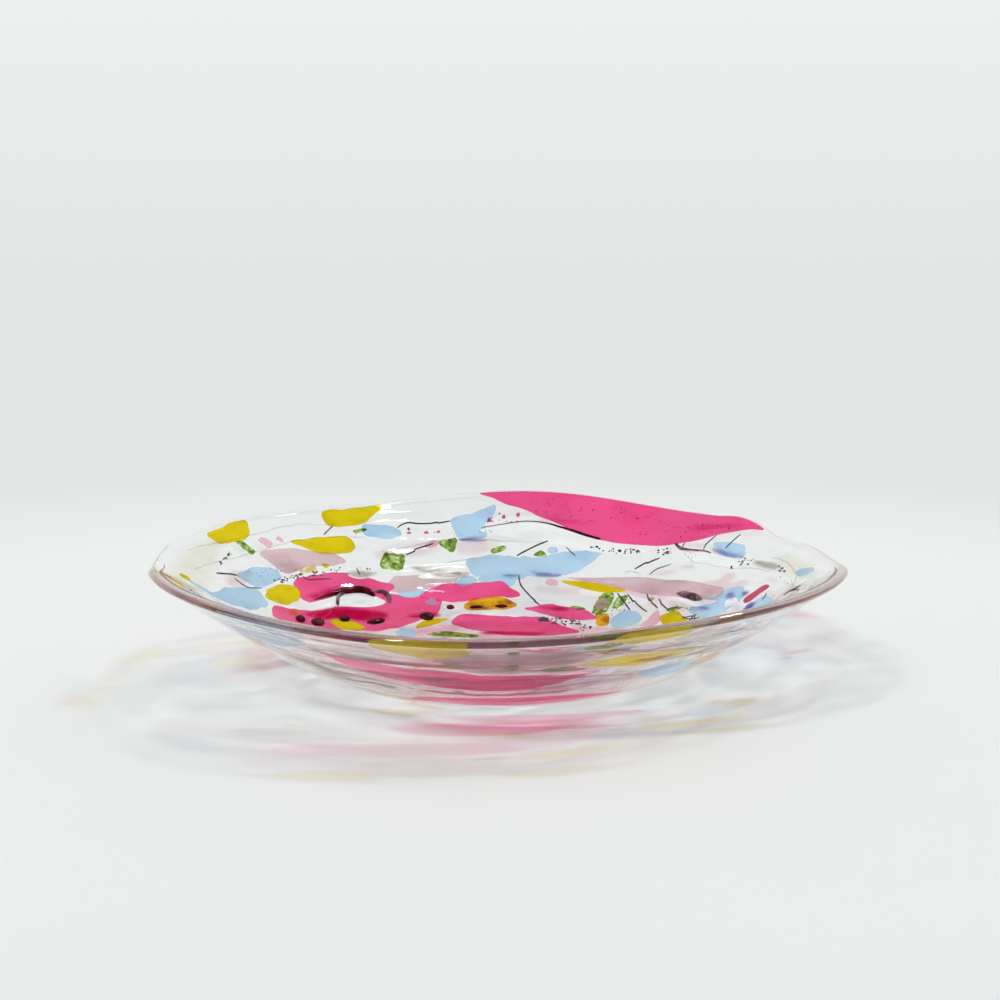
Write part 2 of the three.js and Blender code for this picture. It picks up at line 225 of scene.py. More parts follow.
class Shader:
    """A material's node tree, with short calls to add and join its nodes."""

    def __init__(self, name):
        self.material = bpy.data.materials.new(name)
        self.material.use_nodes = True
        self.tree = self.material.node_tree
        self.tree.nodes.clear()
        self.output = self.tree.nodes.new("ShaderNodeOutputMaterial")

    def add(self, kind, settings=None, **inputs):
        node = self.tree.nodes.new("ShaderNode" + kind)
        for key, value in (settings or {}).items():
            setattr(node, key, value)
        for key, value in inputs.items():
            socket = node.inputs[int(key[1:])] if key[0] == "_" else node.inputs[key.replace("_", " ")]
            if isinstance(value, bpy.types.NodeSocket):
                self.tree.links.new(value, socket)
            else:
                socket.default_value = value
        return node

    def math(self, operation, *values):
        inputs = {f"_{i}": value for i, value in enumerate(values)}
        return self.add("Math", {"operation": operation}, **inputs).outputs[0]

    def mix(self, share, a, b):
        """A colour between a and b."""
        return self.add("Mix", {"data_type": "RGBA"}, _0=share, _6=a, _7=b).outputs[2]

    def shaders(self, share, a, b):
        return self.add("MixShader", _0=share, _1=a.outputs[0], _2=b.outputs[0])

    def ramp(self, value, *stops):
        node = self.add("ValToRGB", _0=value)
        elements = node.color_ramp.elements
        while len(elements) < len(stops):
            elements.new(1)
        for element, (place, level) in zip(elements, stops):
            element.position = place
            element.color = level if isinstance(level, tuple) else (level, level, level, 1)
        return node.outputs[0]

    def place(self):
        return self.add("TexCoord").outputs["Object"]

    def done(self, surface):
        self.tree.links.new(surface.outputs[0], self.output.inputs[0])
        return self.material


def round_the_bowl(shader, out_scale, along_scale):
    """Coordinates for streaks that follow the rim: the direction round the bowl, and the way out."""
    parts = shader.add("SeparateXYZ", _0=shader.place()).outputs
    squares = [shader.math("MULTIPLY", parts[i], parts[i]) for i in (0, 1)]
    out = shader.math("SQRT", shader.math("ADD", shader.math("ADD", *squares), 1e-6))
    way = [shader.math("MULTIPLY", shader.math("DIVIDE", parts[i], out), along_scale) for i in (0, 1)]
    rings = shader.math("MULTIPLY", out, out_scale)
    return shader.add("CombineXYZ", _0=way[0], _1=way[1], _2=rings).outputs[0]


# Painted shade: a ray caught long in the glass is let out darkened to lilac-brown, which shades the rim and
# the front wall.
TRAPPED = 4.5  # after this many bounces in the glass a ray is let out as it is
TRAPPED_SHADE = (0.72, 0.58, 0.56, 1)  # and each face that it then leaves by tints it


def clear_glass():
    """Clear glass. Light for the table goes straight through it, with painted shade where the glass is
    slanted, and noise stands in for the streaks: painted caustics of light and shade.
    """
    s = Shader("clear fused glass")
    rings = round_the_bowl(s, 160.0, 0.9)
    streaks = s.add("TexNoise", _0=rings, Scale=1.0, Detail=2.0, Roughness=0.5).outputs[0]
    dimples = s.add("TexNoise", _0=s.place(), Scale=70.0, Detail=2.0).outputs[0]
    height = s.math("ADD", s.math("MULTIPLY", streaks, 0.8), dimples)
    bump = s.add("Bump", Strength=0.018, Distance=0.002, Height=height).outputs[0]
    glass = s.add("BsdfPrincipled", Base_Color=(0.955, 0.968, 0.960, 1), Roughness=0.0, IOR=1.5,
                  Transmission_Weight=1.0, Normal=bump)
    # What reaches the table is painted: shade where the glass is slanted, and streaks of light and shade from
    # noise.
    facing = s.add("LayerWeight", Blend=0.35).outputs["Facing"]
    rim_shade = s.ramp(facing, (0.75, 1.0), (1.0, 0.62))
    wide_rings = round_the_bowl(s, 70.0, 4.0)
    waves = s.add("TexNoise", _0=wide_rings, Scale=1.0, Detail=2.0, Distortion=0.6).outputs[0]
    painted_caustics = s.add("MapRange", _0=waves, _1=0.3, _2=0.7, _3=0.72, _4=1.06).outputs[0]
    through = s.add("BsdfTransparent", Color=s.math("MULTIPLY", rim_shade, painted_caustics))
    path = s.add("LightPath").outputs
    lamp = s.math("MAXIMUM", path["Is Shadow Ray"], path["Is Diffuse Ray"])
    trapped = s.math("GREATER_THAN", path["Ray Depth"], TRAPPED)
    let_out = s.add("BsdfTransparent", Color=TRAPPED_SHADE)
    return s.done(s.shaders(lamp, s.shaders(trapped, glass, let_out), through))


def once(colour):
    """What one face of a shard lets through, so that its two faces together give the colour."""
    return (*(math.sqrt(c) for c in colour), 1)


SPECK = (0.30, 0.0, 0.03, 1)


def stained_glass(name, colour, deep, milk=0.0, speck=0.0, cloud_size=26 * MM, shine=0.6):
    """Coloured sheet glass: it tints what is behind it, in soft clouds from the colour to the deep one."""
    s = Shader(name)
    place = s.place()
    cloud = s.add("TexNoise", _0=place, Scale=1 / cloud_size, Detail=3.0, Roughness=0.55).outputs[0]
    deeper = s.ramp(cloud, (0.48, 0.0), (0.85, 1.0))
    tint = s.mix(deeper, once(colour), once(deep))
    body_tint = s.mix(deeper, (*colour, 1), (*deep, 1))
    if speck:
        cells = s.add("TexVoronoi", {"feature": "F1"}, _0=place, Scale=480.0, Randomness=1.0)
        dots = s.ramp(cells.outputs["Distance"], (0.14, 1.0), (0.26, 0.0))
        rare = s.ramp(cells.outputs["Color"], (1 - speck, 0.0), (1.05 - speck, 1.0))
        dots = s.math("MULTIPLY", dots, s.math("MULTIPLY", rare, 0.85))
        tint = s.mix(dots, tint, SPECK)
        body_tint = s.mix(dots, body_tint, SPECK)
    ripple = s.add("TexNoise", _0=place, Scale=90.0, Detail=2.0).outputs[0]
    bump = s.add("Bump", Strength=0.06, Distance=0.002, Height=ripple).outputs[0]
    see = s.add("BsdfTransparent", Color=tint)
    body = s.add("BsdfDiffuse", Color=body_tint, Normal=bump)
    glow = s.add("BsdfTranslucent", Color=body_tint)
    filled = s.shaders(milk, see, s.shaders(0.5, body, glow))
    cast = s.add("BsdfTransparent", Color=s.mix(0.3, tint, (1, 1, 1, 1)))
    gloss = s.add("BsdfGlossy", Color=(1, 1, 1, 1), Roughness=0.02, Normal=bump)
    glance = s.math("MULTIPLY", s.add("Fresnel", IOR=1.5, Normal=bump).outputs[0], shine)
    lit = s.add("LightPath").outputs["Is Shadow Ray"]
    return s.done(s.shaders(lit, s.shaders(glance, filled, gloss), cast))


def black_glass():
    s = Shader("black glass")
    cloud = s.add("TexNoise", _0=s.place(), Scale=160.0, Detail=2.0).outputs[0]
    tone = s.mix(cloud, (0.004, 0.004, 0.006, 1), (0.02, 0.018, 0.02, 1))
    wear = s.ramp(cloud, (0.3, 0.12), (0.7, 0.25))
    return s.done(s.add("BsdfPrincipled", Base_Color=tone, Roughness=wear, IOR=1.5))


def thick_glass(name, heart, edge):
    """Glass gathered so thick that it is nearly black in its heart, with a clear bright edge."""
    s = Shader(name)
    cloud = s.add("TexNoise", _0=s.place(), Scale=130.0, Detail=2.0, Distortion=0.5).outputs[0]
    tone = s.mix(s.ramp(cloud, (0.42, 0.0), (0.70, 1.0)), (*heart, 1), (*edge, 1))
    body = s.add("BsdfDiffuse", Color=tone)
    gloss = s.add("BsdfGlossy", Color=(1, 1, 1, 1), Roughness=0.03)
    glance = s.math("MULTIPLY", s.add("Fresnel", IOR=1.4).outputs[0], 0.3)
    return s.done(s.shaders(glance, body, gloss))


def frit_glass(name, light, dark):
    """Coarse frit, half fused: a see-through patch of light glass with dark grains and clear gaps in it."""
    s = Shader(name)
    place = s.place()
    grain = s.add("TexVoronoi", {"feature": "F1"}, _0=place, Scale=620.0).outputs
    clump = s.add("TexNoise", _0=place, Scale=240.0, Detail=3.0, Roughness=0.6).outputs[0]
    grains = s.ramp(grain["Color"], (0.1, 0.2), (0.8, 1.0))
    depth = s.math("MULTIPLY", grains, s.ramp(clump, (0.42, 0.1), (0.54, 1.0)))
    tint = s.mix(depth, once(light), once(dark))
    gap = s.ramp(clump, (0.36, 1.0), (0.44, 0.0))
    tint = s.mix(s.math("MULTIPLY", gap, 0.7), tint, (1, 1, 1, 1))
    see = s.add("BsdfTransparent", Color=tint)
    body = s.add("BsdfDiffuse", Color=s.mix(depth, (*light, 1), (*dark, 1)))
    return s.done(s.shaders(0.16, see, body))


def bright_glass():
    """A lens of clear glass. It brightens what is behind it a little: painted light, in place of real
    gathering.
    """
    s = Shader("bright clear lens")
    cloud = s.add("TexNoise", _0=s.place(), Scale=60.0, Detail=1.0).outputs[0]
    painted_brightening = s.mix(cloud, (1.06, 1.06, 1.06, 1), (0.99, 1.0, 1.0, 1))
    see = s.add("BsdfTransparent", Color=painted_brightening)
    gloss = s.add("BsdfGlossy", Color=(1, 1, 1, 1), Roughness=0.05)
    return s.done(s.shaders(0.03, see, gloss))


def soft_film(name, colour, fade):
    """A film of colour that thins out towards its edge over the length `fade`."""
    s = Shader(name)
    inward = s.add("Attribute", {"attribute_name": "inward"}).outputs["Fac"]
    strength = s.add("MapRange", {"interpolation_type": "SMOOTHSTEP"}, _0=inward, _1=0.0, _2=fade).outputs[0]
    cloud = s.add("TexNoise", _0=s.place(), Scale=60.0, Detail=2.0).outputs[0]
    strength = s.math("MULTIPLY", strength, s.ramp(cloud, (0.25, 0.55), (0.60, 1.0)))
    return s.done(s.add("BsdfTransparent", Color=s.mix(strength, (1, 1, 1, 1), once(colour))))


CLEAR = clear_glass()
BRIGHT = bright_glass()
BLACK = black_glass()
PINK = stained_glass("pink glass", (0.95, 0.12, 0.36), (0.78, 0.04, 0.18), milk=0.25, shine=0.5)
BAND = stained_glass("speckled pink glass", (0.95, 0.13, 0.38), (0.86, 0.07, 0.27), milk=0.35, speck=0.30,
                     shine=0.3)
YELLOW = stained_glass("yellow glass", (0.82, 0.68, 0.004), (0.60, 0.44, 0.004), milk=0.26, shine=0.12)
AMBER = stained_glass("amber glass", (0.88, 0.50, 0.004), (0.20, 0.010, 0.004), milk=0.15,
                      cloud_size=9 * MM, shine=0.2)
BLUE = stained_glass("milky blue glass", (0.58, 0.78, 0.93), (0.36, 0.52, 0.78), milk=0.42, shine=0.5)
MAUVE = stained_glass("mauve glass", (0.78, 0.60, 0.63), (0.52, 0.33, 0.38), milk=0.15)
ROSE = stained_glass("pale rose glass", (0.93, 0.62, 0.70), (0.80, 0.40, 0.50), milk=0.4)
RED = stained_glass("red glass", (0.62, 0.03, 0.13), (0.30, 0.0, 0.04), milk=0.12)
DEEP_PINK = stained_glass("doubled pink glass", (0.72, 0.12, 0.26), (0.42, 0.02, 0.10), milk=0.1,
                          cloud_size=12 * MM, shine=0.3)
CRIMSON = thick_glass("crimson thick glass", (0.03, 0.0, 0.003), (0.18, 0.003, 0.018))
PLUM = thick_glass("plum thick glass", (0.07, 0.03, 0.04), (0.34, 0.20, 0.24))
GREEN = frit_glass("green frit", (0.50, 0.66, 0.16), (0.06, 0.16, 0.02))
# The wine, umber and sheet edge glasses are painted shade: threads for the dark lines in the front wall, at
# the rim and across the clear glass.
WINE_WALL_SHADE = stained_glass("wine wall shade", (0.46, 0.10, 0.14), (0.16, 0.01, 0.03), cloud_size=10 * MM, shine=0.1)
UMBER_RIM_SHADE = stained_glass("umber painted rim shade", (0.50, 0.40, 0.37), (0.30, 0.22, 0.20), cloud_size=16 * MM,
                      shine=0.3)
EDGE = stained_glass("sheet edge painted shade", (0.84, 0.82, 0.81), (0.62, 0.59, 0.58), cloud_size=14 * MM,
                     shine=0.1)
# Films: the colour at their middle, and the length in mm over which they fade out. The violet, smoke and
# lilac films are painted shade, and the red film a painted reflection.
FILM = {name: soft_film(name + " film", colour, fade * MM) for name, colour, fade in (
    ("deep pink", (0.62, 0.03, 0.18), 4.5),
    ("violet", (0.30, 0.22, 0.50), 2.8),
    ("folded band", (0.86, 0.36, 0.62), 5.0),
    ("smoke", (0.50, 0.45, 0.42), 3.0),
    ("ivory", (0.92, 0.89, 0.81), 9.0),
    ("rose", (0.90, 0.78, 0.81), 5.0),
    ("lilac", (0.80, 0.66, 0.70), 6.0),
    ("red", (0.48, 0.03, 0.10), 4.0),
    ("olive", (0.42, 0.52, 0.30), 4.0),
    ("amber", (0.80, 0.48, 0.10), 2.0),
)}

# --------------------------------------------------------------------------------------------------
# Geometry Nodes trees.


class Tree:
    """A Geometry Nodes tree with named inputs, and short calls to add and join its nodes."""

    def __init__(self, name, *inputs):
        self.group = bpy.data.node_groups.new(name, "GeometryNodeTree")
        face = self.group.interface
        face.new_socket("Geometry", in_out="INPUT", socket_type="NodeSocketGeometry")
        face.new_socket("Geometry", in_out="OUTPUT", socket_type="NodeSocketGeometry")
        for label, kind in inputs:
            face.new_socket(label, in_out="INPUT", socket_type="NodeSocket" + kind)
        self.inputs = self.group.nodes.new("NodeGroupInput").outputs
        self.output = self.group.nodes.new("NodeGroupOutput")

    def add(self, kind, settings=None, out=0, **inputs):
        node = self.group.nodes.new(kind)
        for key, value in (settings or {}).items():
            setattr(node, key, value)
        for key, value in inputs.items():
            socket = node.inputs[int(key[1:])]
            if isinstance(value, bpy.types.NodeSocket):
                self.group.links.new(value, socket)
            else:
                socket.default_value = value
        return node.outputs[out]

    def geometry(self, kind, settings=None, out=0, **inputs):
        return self.add("GeometryNode" + kind, settings, out, **inputs)

    def math(self, operation, a, b):
        return self.add("ShaderNodeMath", {"operation": operation}, _0=a, _1=b)

    def attribute(self, name):
        return self.geometry("InputNamedAttribute", {"data_type": "FLOAT"}, _0=name)

    def done(self, geometry):
        smooth = self.geometry("SetShadeSmooth", _0=geometry)
        real = self.geometry("RealizeInstances", _0=smooth)
        made = self.geometry("SetMaterial", _0=real, _2=self.inputs["Material"])
        self.group.links.new(made, self.output.inputs[0])
        return self.group


def slumped_surface():
    """Ripples on the blank's inner face, and on its outer face the ridges that the mould left round it."""
    t = Tree("slumped_surface", ("Ripple Height", "Float"), ("Ripple Scale", "Float"),
             ("Ridge Height", "Float"), ("Ridges Per Metre", "Float"), ("Ridge Wander", "Float"),
             ("Material", "Material"))
    place = t.geometry("InputPosition")
    ripple = t.add("ShaderNodeTexNoise", _0=place, _2=t.inputs["Ripple Scale"], _3=1.0)
    ripple = t.math("MULTIPLY", t.math("SUBTRACT", ripple, 0.5), t.inputs["Ripple Height"])
    flat = t.add("ShaderNodeVectorMath", {"operation": "MULTIPLY"}, _0=place, _1=(1, 1, 0))
    out = t.add("ShaderNodeVectorMath", {"operation": "LENGTH"}, out=1, _0=flat)
    way = t.add("ShaderNodeVectorMath", {"operation": "NORMALIZE"}, _0=flat)
    way = t.add("ShaderNodeVectorMath", {"operation": "SCALE"}, _0=way, _3=t.inputs["Ridge Wander"])
    rise = t.add("ShaderNodeCombineXYZ", _2=t.math("MULTIPLY", out, t.inputs["Ridges Per Metre"]))
    spiral = t.add("ShaderNodeVectorMath", {"operation": "ADD"}, _0=way, _1=rise)
    ridge = t.add("ShaderNodeTexNoise", _0=spiral, _2=1.0, _3=1.5)
    ridge = t.math("MULTIPLY", t.math("SUBTRACT", ridge, 0.5), t.inputs["Ridge Height"])
    lift = t.math("ADD", t.math("MULTIPLY", ripple, t.attribute("inside")),
                  t.math("MULTIPLY", ridge, t.attribute("outside")))
    normal = t.geometry("InputNormal")
    offset = t.add("ShaderNodeVectorMath", {"operation": "SCALE"}, _0=normal, _3=lift)
    return t.done(t.geometry("SetPosition", _0=t.inputs["Geometry"], _3=offset))


def pulled_thread():
    """A thread of glass along a line of points, as thick at each as its `thickness` says."""
    t = Tree("pulled_thread", ("Diameter", "Float"), ("Material", "Material"))
    line = t.geometry("MeshToCurve", _0=t.inputs["Geometry"])
    section = t.geometry("CurvePrimitiveCircle", _0=12, _4=t.math("MULTIPLY", t.inputs["Diameter"], 0.5))
    return t.done(t.geometry("CurveToMesh", _0=line, _1=section, _2=t.attribute("thickness"), _3=True))


def sprinkled_grains():
    """Grains scattered over a patch, each turned and stretched in its own way."""
    t = Tree("sprinkled_grains", ("Grains Per Square Metre", "Float"), ("Grain Size", "Float"),
             ("Stretch", "Float"), ("Seed", "Int"), ("Material", "Material"))
    seed = t.inputs["Seed"]
    points = t.geometry("DistributePointsOnFaces", _0=t.inputs["Geometry"],
                        _4=t.inputs["Grains Per Square Metre"], _6=seed)
    grain = t.geometry("MeshIcoSphere", _0=0.5, _1=1)
    size = t.add("FunctionNodeRandomValue", {"data_type": "FLOAT"}, out=1, _2=0.45, _3=1.0, _8=seed)
    size = t.math("MULTIPLY", size, t.inputs["Grain Size"])
    shape = t.add("FunctionNodeRandomValue", {"data_type": "FLOAT_VECTOR"}, _0=(0.7, 0.7, 0.55),
                  _1=(1, 1, 0.8), _8=3)
    long = t.add("ShaderNodeCombineXYZ", _0=t.inputs["Stretch"], _1=1.0, _2=1.0)
    shape = t.add("ShaderNodeVectorMath", {"operation": "MULTIPLY"}, _0=shape, _1=long)
    shape = t.add("ShaderNodeVectorMath", {"operation": "SCALE"}, _0=shape, _3=size)
    turn = t.add("FunctionNodeRandomValue", {"data_type": "FLOAT_VECTOR"}, _0=(0, 0, -3.1),
                 _1=(0.5, 0.5, 3.1), _8=9)
    grains = t.geometry("InstanceOnPoints", _0=points, _2=grain, _5=turn, _6=shape)
    return t.done(grains)


SURFACE_TREE = slumped_surface()
THREAD_TREE = pulled_thread()
GRAIN_TREE = sprinkled_grains()

# --------------------------------------------------------------------------------------------------
# How a piece is made.


def mesh_object(name, points, faces, edges=()):
    mesh = bpy.data.meshes.new(name)
    mesh.from_pydata([tuple(p) for p in points], edges, faces)
    made = bpy.data.objects.new(name, mesh)
    bpy.context.scene.collection.objects.link(made)
    return made


def grown_by(piece, tree, **inputs):
    """Runs a Geometry Nodes tree on a piece and keeps the result as its plain mesh."""
    modifier = piece.modifiers.new(tree.name, "NODES")
    modifier.node_group = tree
    named = {item.name: item for item in tree.interface.items_tree if item.in_out == "INPUT"}
    for label, value in inputs.items():
        modifier[named[label.replace("_", " ")].identifier] = value
    evaluated = piece.evaluated_get(bpy.context.evaluated_depsgraph_get())
    mesh = bpy.data.meshes.new_from_object(evaluated)
    piece.modifiers.clear()
    piece.data = mesh
    mesh.name = piece.name


def settle(piece, nodes=(), material=None):
    """Gives a finished piece its material, smooth faces and body, and hides the frame nodes that it stands
    for.
    """
    if material:
        piece.data.materials.clear()
        piece.data.materials.append(material)
    piece.data.polygons.foreach_set("use_smooth", [True] * len(piece.data.polygons))
    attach(piece, "root")
    if nodes:
        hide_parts(*nodes)


# --------------------------------------------------------------------------------------------------
# The clear blank.

BLANK_ROUND = 384
INNER_RINGS = 96
OUTER_RINGS = 104
EDGE_RINGS = 9


def ring_faces(first, second, count):
    """Quads between two rings of vertices, given by the index that each starts at."""
    return [(first + i, first + (i + 1) % count, second + (i + 1) % count, second + i) for i in range(count)]


def blank():
    """The clear blank: its outer face, its rounded rim and its folded inner face."""
    turn = np.arange(BLANK_ROUND) * 2 * math.pi / BLANK_ROUND
    place = turn / (2 * math.pi) * ROUND
    ways = np.stack([np.cos(turn), np.sin(turn)])
    loops, inside, outside = [], [], []
    for j in range(1, OUTER_RINGS + 1):
        share = j / OUTER_RINGS
        x, y = ways * between(outer_end, place) * share * NEARLY
        loops.append(np.stack([x, y, np.maximum(outer.height(x, y), 0)], -1))
        inside.append(0)
        outside.append(min(max((share - 0.32) / 0.12, 0), 1) * min((1 - share) / 0.06, 1))
    out, up = between(rim_out, place), between(rim_up, place)
    for j in range(EDGE_RINGS):
        a = WALL_ANGLE - math.pi / 2 + math.pi * (j + 1) / (EDGE_RINGS + 1)
        r = out - HALF + HALF * math.cos(a)
        loops.append(np.stack([*(ways * r), up + HALF * math.sin(a)], -1))
        inside.append(0)
        outside.append(0)
    for j in range(INNER_RINGS, 0, -1):
        share = j / INNER_RINGS
        x, y = ways * between(inner_end, place) * share * NEARLY
        loops.append(np.stack([x, y, inner_height(x, y)], -1))
        inside.append(min((1 - share) / 0.08, 1))
        outside.append(0)
    points = list(np.concatenate(loops))
    faces = []
    for j in range(len(loops) - 1):
        faces += ring_faces(j * BLANK_ROUND, (j + 1) * BLANK_ROUND, BLANK_ROUND)
    zero = np.zeros(1)
    bottom, top = len(points), len(points) + 1
    points.append((0, 0, 0))
    points.append((0, 0, float(inner_height(zero, zero)[0])))
    last = (len(loops) - 1) * BLANK_ROUND
    for i in range(BLANK_ROUND):
        k = (i + 1) % BLANK_ROUND
        faces.append((bottom, k, i))
        faces.append((top, last + i, last + k))
    piece = mesh_object("clear_blank_glass", points, faces)
    for label, values, ends in (("inside", inside, (0, 1)), ("outside", outside, (0, 0))):
        layer = piece.data.attributes.new(label, "FLOAT", "POINT")
        levels = np.concatenate([np.repeat(values, BLANK_ROUND), ends])
        layer.data.foreach_set("value", levels.astype(np.float32))
    grown_by(piece, SURFACE_TREE, Ripple_Height=0.12 * MM, Ripple_Scale=70.0, Ridge_Height=1.5 * MM,
             Ridges_Per_Metre=120.0, Ridge_Wander=1.6, Material=CLEAR)
    for label in ("inside", "outside"):
        piece.data.attributes.remove(piece.data.attributes[label])
    settle(piece, ["clear_blank"])


# --------------------------------------------------------------------------------------------------
# Shards of sheet glass, draped on the blank and half sunk in it.

STEP = 1.3 * MM  # between the points of an outline
CELL = 2.2 * MM  # of the net inside it
PROUD = 0.12 * MM  # how far a shard stands above the clear glass
SUNK = 0.30 * MM  # and how deep it has melted in


def outline(node):
    """The outline of a frame node's upper face, seen from above, as a closed line of points."""
    bm = merged(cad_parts[node])
    start = max(bm.faces, key=lambda f: f.normal.z * f.calc_area())
    found, waiting = {start}, [start]
    while waiting:
        face = waiting.pop()
        for edge in face.edges:
            for other in edge.link_faces:
                if other not in found and other.normal.angle(face.normal, 9) < 0.6:
                    found.add(other)
                    waiting.append(other)
    border = {}
    for face in found:
        for loop in face.loops:
            if not any(f in found for f in loop.edge.link_faces if f is not face):
                border[loop.vert] = loop.link_loop_next.vert
    best = []
    while border:
        vert = next(iter(border))
        line = []
        while vert in border:
            line.append((vert.co.x, vert.co.y))
            vert = border.pop(vert)
        best = max(best, line, key=len)
    bm.free()
    return np.array(best)


def resampled(line, step=STEP):
    """A closed line with points at even steps."""
    closed = np.vstack([line, line[:1]])
    lengths = np.hypot(*np.diff(closed, axis=0).T)
    run = np.concatenate([[0], np.cumsum(lengths)])
    count = max(12, round(run[-1] / step))
    at = np.arange(count) * run[-1] / count
    return np.stack([np.interp(at, run, closed[:, k]) for k in (0, 1)], -1)


def melted(line, times):
    """A closed line with its corners rounded off."""
    for _ in range(times):
        line = 0.5 * line + 0.25 * (np.roll(line, 1, 0) + np.roll(line, -1, 0))
    return line


def outward(line):
    """The direction out of a closed line at each of its points."""
    along = np.roll(line, -1, 0) - np.roll(line, 1, 0)
    along /= np.linalg.norm(along, axis=1, keepdims=True) + 1e-12
    area = np.sum(line[:, 0] * np.roll(line[:, 1], -1) - line[:, 1] * np.roll(line[:, 0], -1))
    return np.stack([along[:, 1], -along[:, 0]], -1) * np.sign(area)


def within(points, line):
    """Which points lie inside a closed line."""
    x, y = points[:, :1], points[:, 1:]
    ax, ay = line[:, 0], line[:, 1]
    bx, by = np.roll(ax, -1), np.roll(ay, -1)
    crosses = (ay > y) != (by > y)
    with np.errstate(divide="ignore", invalid="ignore"):
        hits = crosses & (x < (bx - ax) * (y - ay) / (by - ay) + ax)
    return hits.sum(1) % 2 == 1


def from_line(points, line):
    return np.hypot(points[:, None, 0] - line[None, :, 0], points[:, None, 1] - line[None, :, 1]).min(1)


def net(line, cell=CELL, holes=()):
    """Triangles that fill a closed line, apart from the holes.

    It gives their points, seen from above, how far in each point lies, and the triangles.
    """
    low, high = line.min(0), line.max(0)
    gx, gy = np.meshgrid(np.arange(low[0], high[0], cell), np.arange(low[1], high[1], cell))
    gx[::2] += cell / 2
    grid = np.stack([gx.ravel(), gy.ravel()], -1)
    grid = grid[within(grid, line)]
    cuts = [hole for hole in holes if (hole.max(0) > low).all() and (hole.min(0) < high).all()]
    borders = np.vstack([line, *cuts])
    if len(grid):
        grid = grid[from_line(grid, borders) > 0.45 * cell]
    edges, start = [], 0
    for loop in (line, *cuts):
        edges += [(start + i, start + (i + 1) % len(loop)) for i in range(len(loop))]
        start += len(loop)
    flat = np.vstack([borders, grid])
    made, _, faces, *_ = delaunay_2d_cdt([Vector(p) for p in flat / MM], edges, [], 0, 1e-5)
    flat = np.array([tuple(p) for p in made]) * MM
    faces = np.array([tuple(f) for f in faces])
    middles = flat[faces].mean(1)
    kept = within(middles, line)
    for hole in cuts:
        kept &= ~within(middles, hole)
    faces = faces[kept]
    one, two = flat[faces[:, 1]] - flat[faces[:, 0]], flat[faces[:, 2]] - flat[faces[:, 0]]
    down = one[:, 0] * two[:, 1] - one[:, 1] * two[:, 0] < 0
    faces[down] = faces[down][:, ::-1]
    used, faces = np.unique(faces, return_inverse=True)
    faces = faces.reshape(-1, 3)
    flat = flat[used]
    pairs = {(f[i], f[(i + 1) % 3]) for f in faces.tolist() for i in range(3)}
    edge = sorted({i for i, j in pairs if (j, i) not in pairs})
    away = from_line(flat, flat[edge])
    away[edge] = 0
    return flat, away, [tuple(f) for f in faces.tolist()]


def plate(line, proud=PROUD, sunk=SUNK, cell=CELL, holes=()):
    """A thin plate that follows the inner face: its points, its faces and how far in each point is."""
    flat, away, up = net(line, cell, holes)
    x, y = flat.T
    rest = np.stack([x, y, inner_height(x, y)], -1)
    n = normals(x, y)
    count = len(flat)
    points = [*(rest + n * proud), *(rest - n * sunk)]
    down = [tuple(i + count for i in reversed(f)) for f in up]
    pairs = {(f[i], f[(i + 1) % 3]) for f in up for i in range(3)}
    sides = [(j, i, i + count, j + count) for i, j in sorted(pairs) if (j, i) not in pairs]
    return points, up + down + sides, [*away, *away]


def glass_piece(name, plates, material, nodes=()):
    """One piece made of plates of one glass, with crisp edges."""
    points, faces, inward = [], [], []
    for more, sides, depths in plates:
        faces += [tuple(i + len(points) for i in f) for f in sides]
        points += more
        inward += depths
    piece = mesh_object(name, points, faces)
    layer = piece.data.attributes.new("inward", "FLOAT", "POINT")
    layer.data.foreach_set("value", np.array(inward, np.float32))
    settle(piece, nodes, material)
    piece.data.set_sharp_from_angle(angle=math.radians(50))


# Outlines that are followed more closely than the frame's, as degrees and shares.
BAND_TOP = [(degrees, 0.999) for degrees in range(36, 92, 4)]
BY_HAND = {
    "pink_band_back_rim": [*BAND_TOP, (93.5, 0.999), (91.0, 0.978), (88.4, 0.954), (85.1, 0.936),
                           (82.0, 0.914), (79.1, 0.898), (75.6, 0.875), (71.3, 0.858), (66.8, 0.848),
                           (59.6, 0.849), (54.2, 0.856), (49.2, 0.875), (45.2, 0.897), (42.0, 0.918),
                           (39.5, 0.936), (35.5, 0.972), (32.5, 0.998)],
    "mauve_blade_right": [(71.5, 0.697), (63.1, 0.709), (52.3, 0.734), (42.6, 0.742), (33.0, 0.762),
                          (26.0, 0.777), (23.3, 0.743), (27.9, 0.715), (35.4, 0.695), (41.0, 0.686),
                          (48.0, 0.683), (55.2, 0.686), (62.3, 0.691)],
    "yellow_blade_right": [(72.8, 0.681), (69.0, 0.688), (65.9, 0.690), (60.0, 0.688), (53.5, 0.683),
                           (57.8, 0.664), (63.0, 0.660), (67.7, 0.667)],
}
OUTLINES = {}


def shard(node, material, melt=1, wobble=0.4 * MM, grain=6 * MM, grow=0.6 * MM):
    """One shard: the frame's outline, with melted corners and a slightly wandering edge."""
    if node in BY_HAND:
        line = drawn(*BY_HAND[node])
    else:
        line = melted(resampled(outline(node)), melt)
        seed = sum(map(ord, node)) * 0.37
        line = line + outward(line) * (grow + wobble * noisy(line[:, 0], line[:, 1], grain, seed))[:, None]
    line = resampled(line)
    r = np.hypot(line[:, 0], line[:, 1])
    reach = between(inner_end, np.arctan2(line[:, 1], line[:, 0]) / (2 * math.pi) * ROUND) * 0.999
    OUTLINES[node] = line * (np.minimum(r, reach) / r)[:, None]
    glass_piece(node + "_glass", [plate(OUTLINES[node], holes=GAPS)], material, [node])


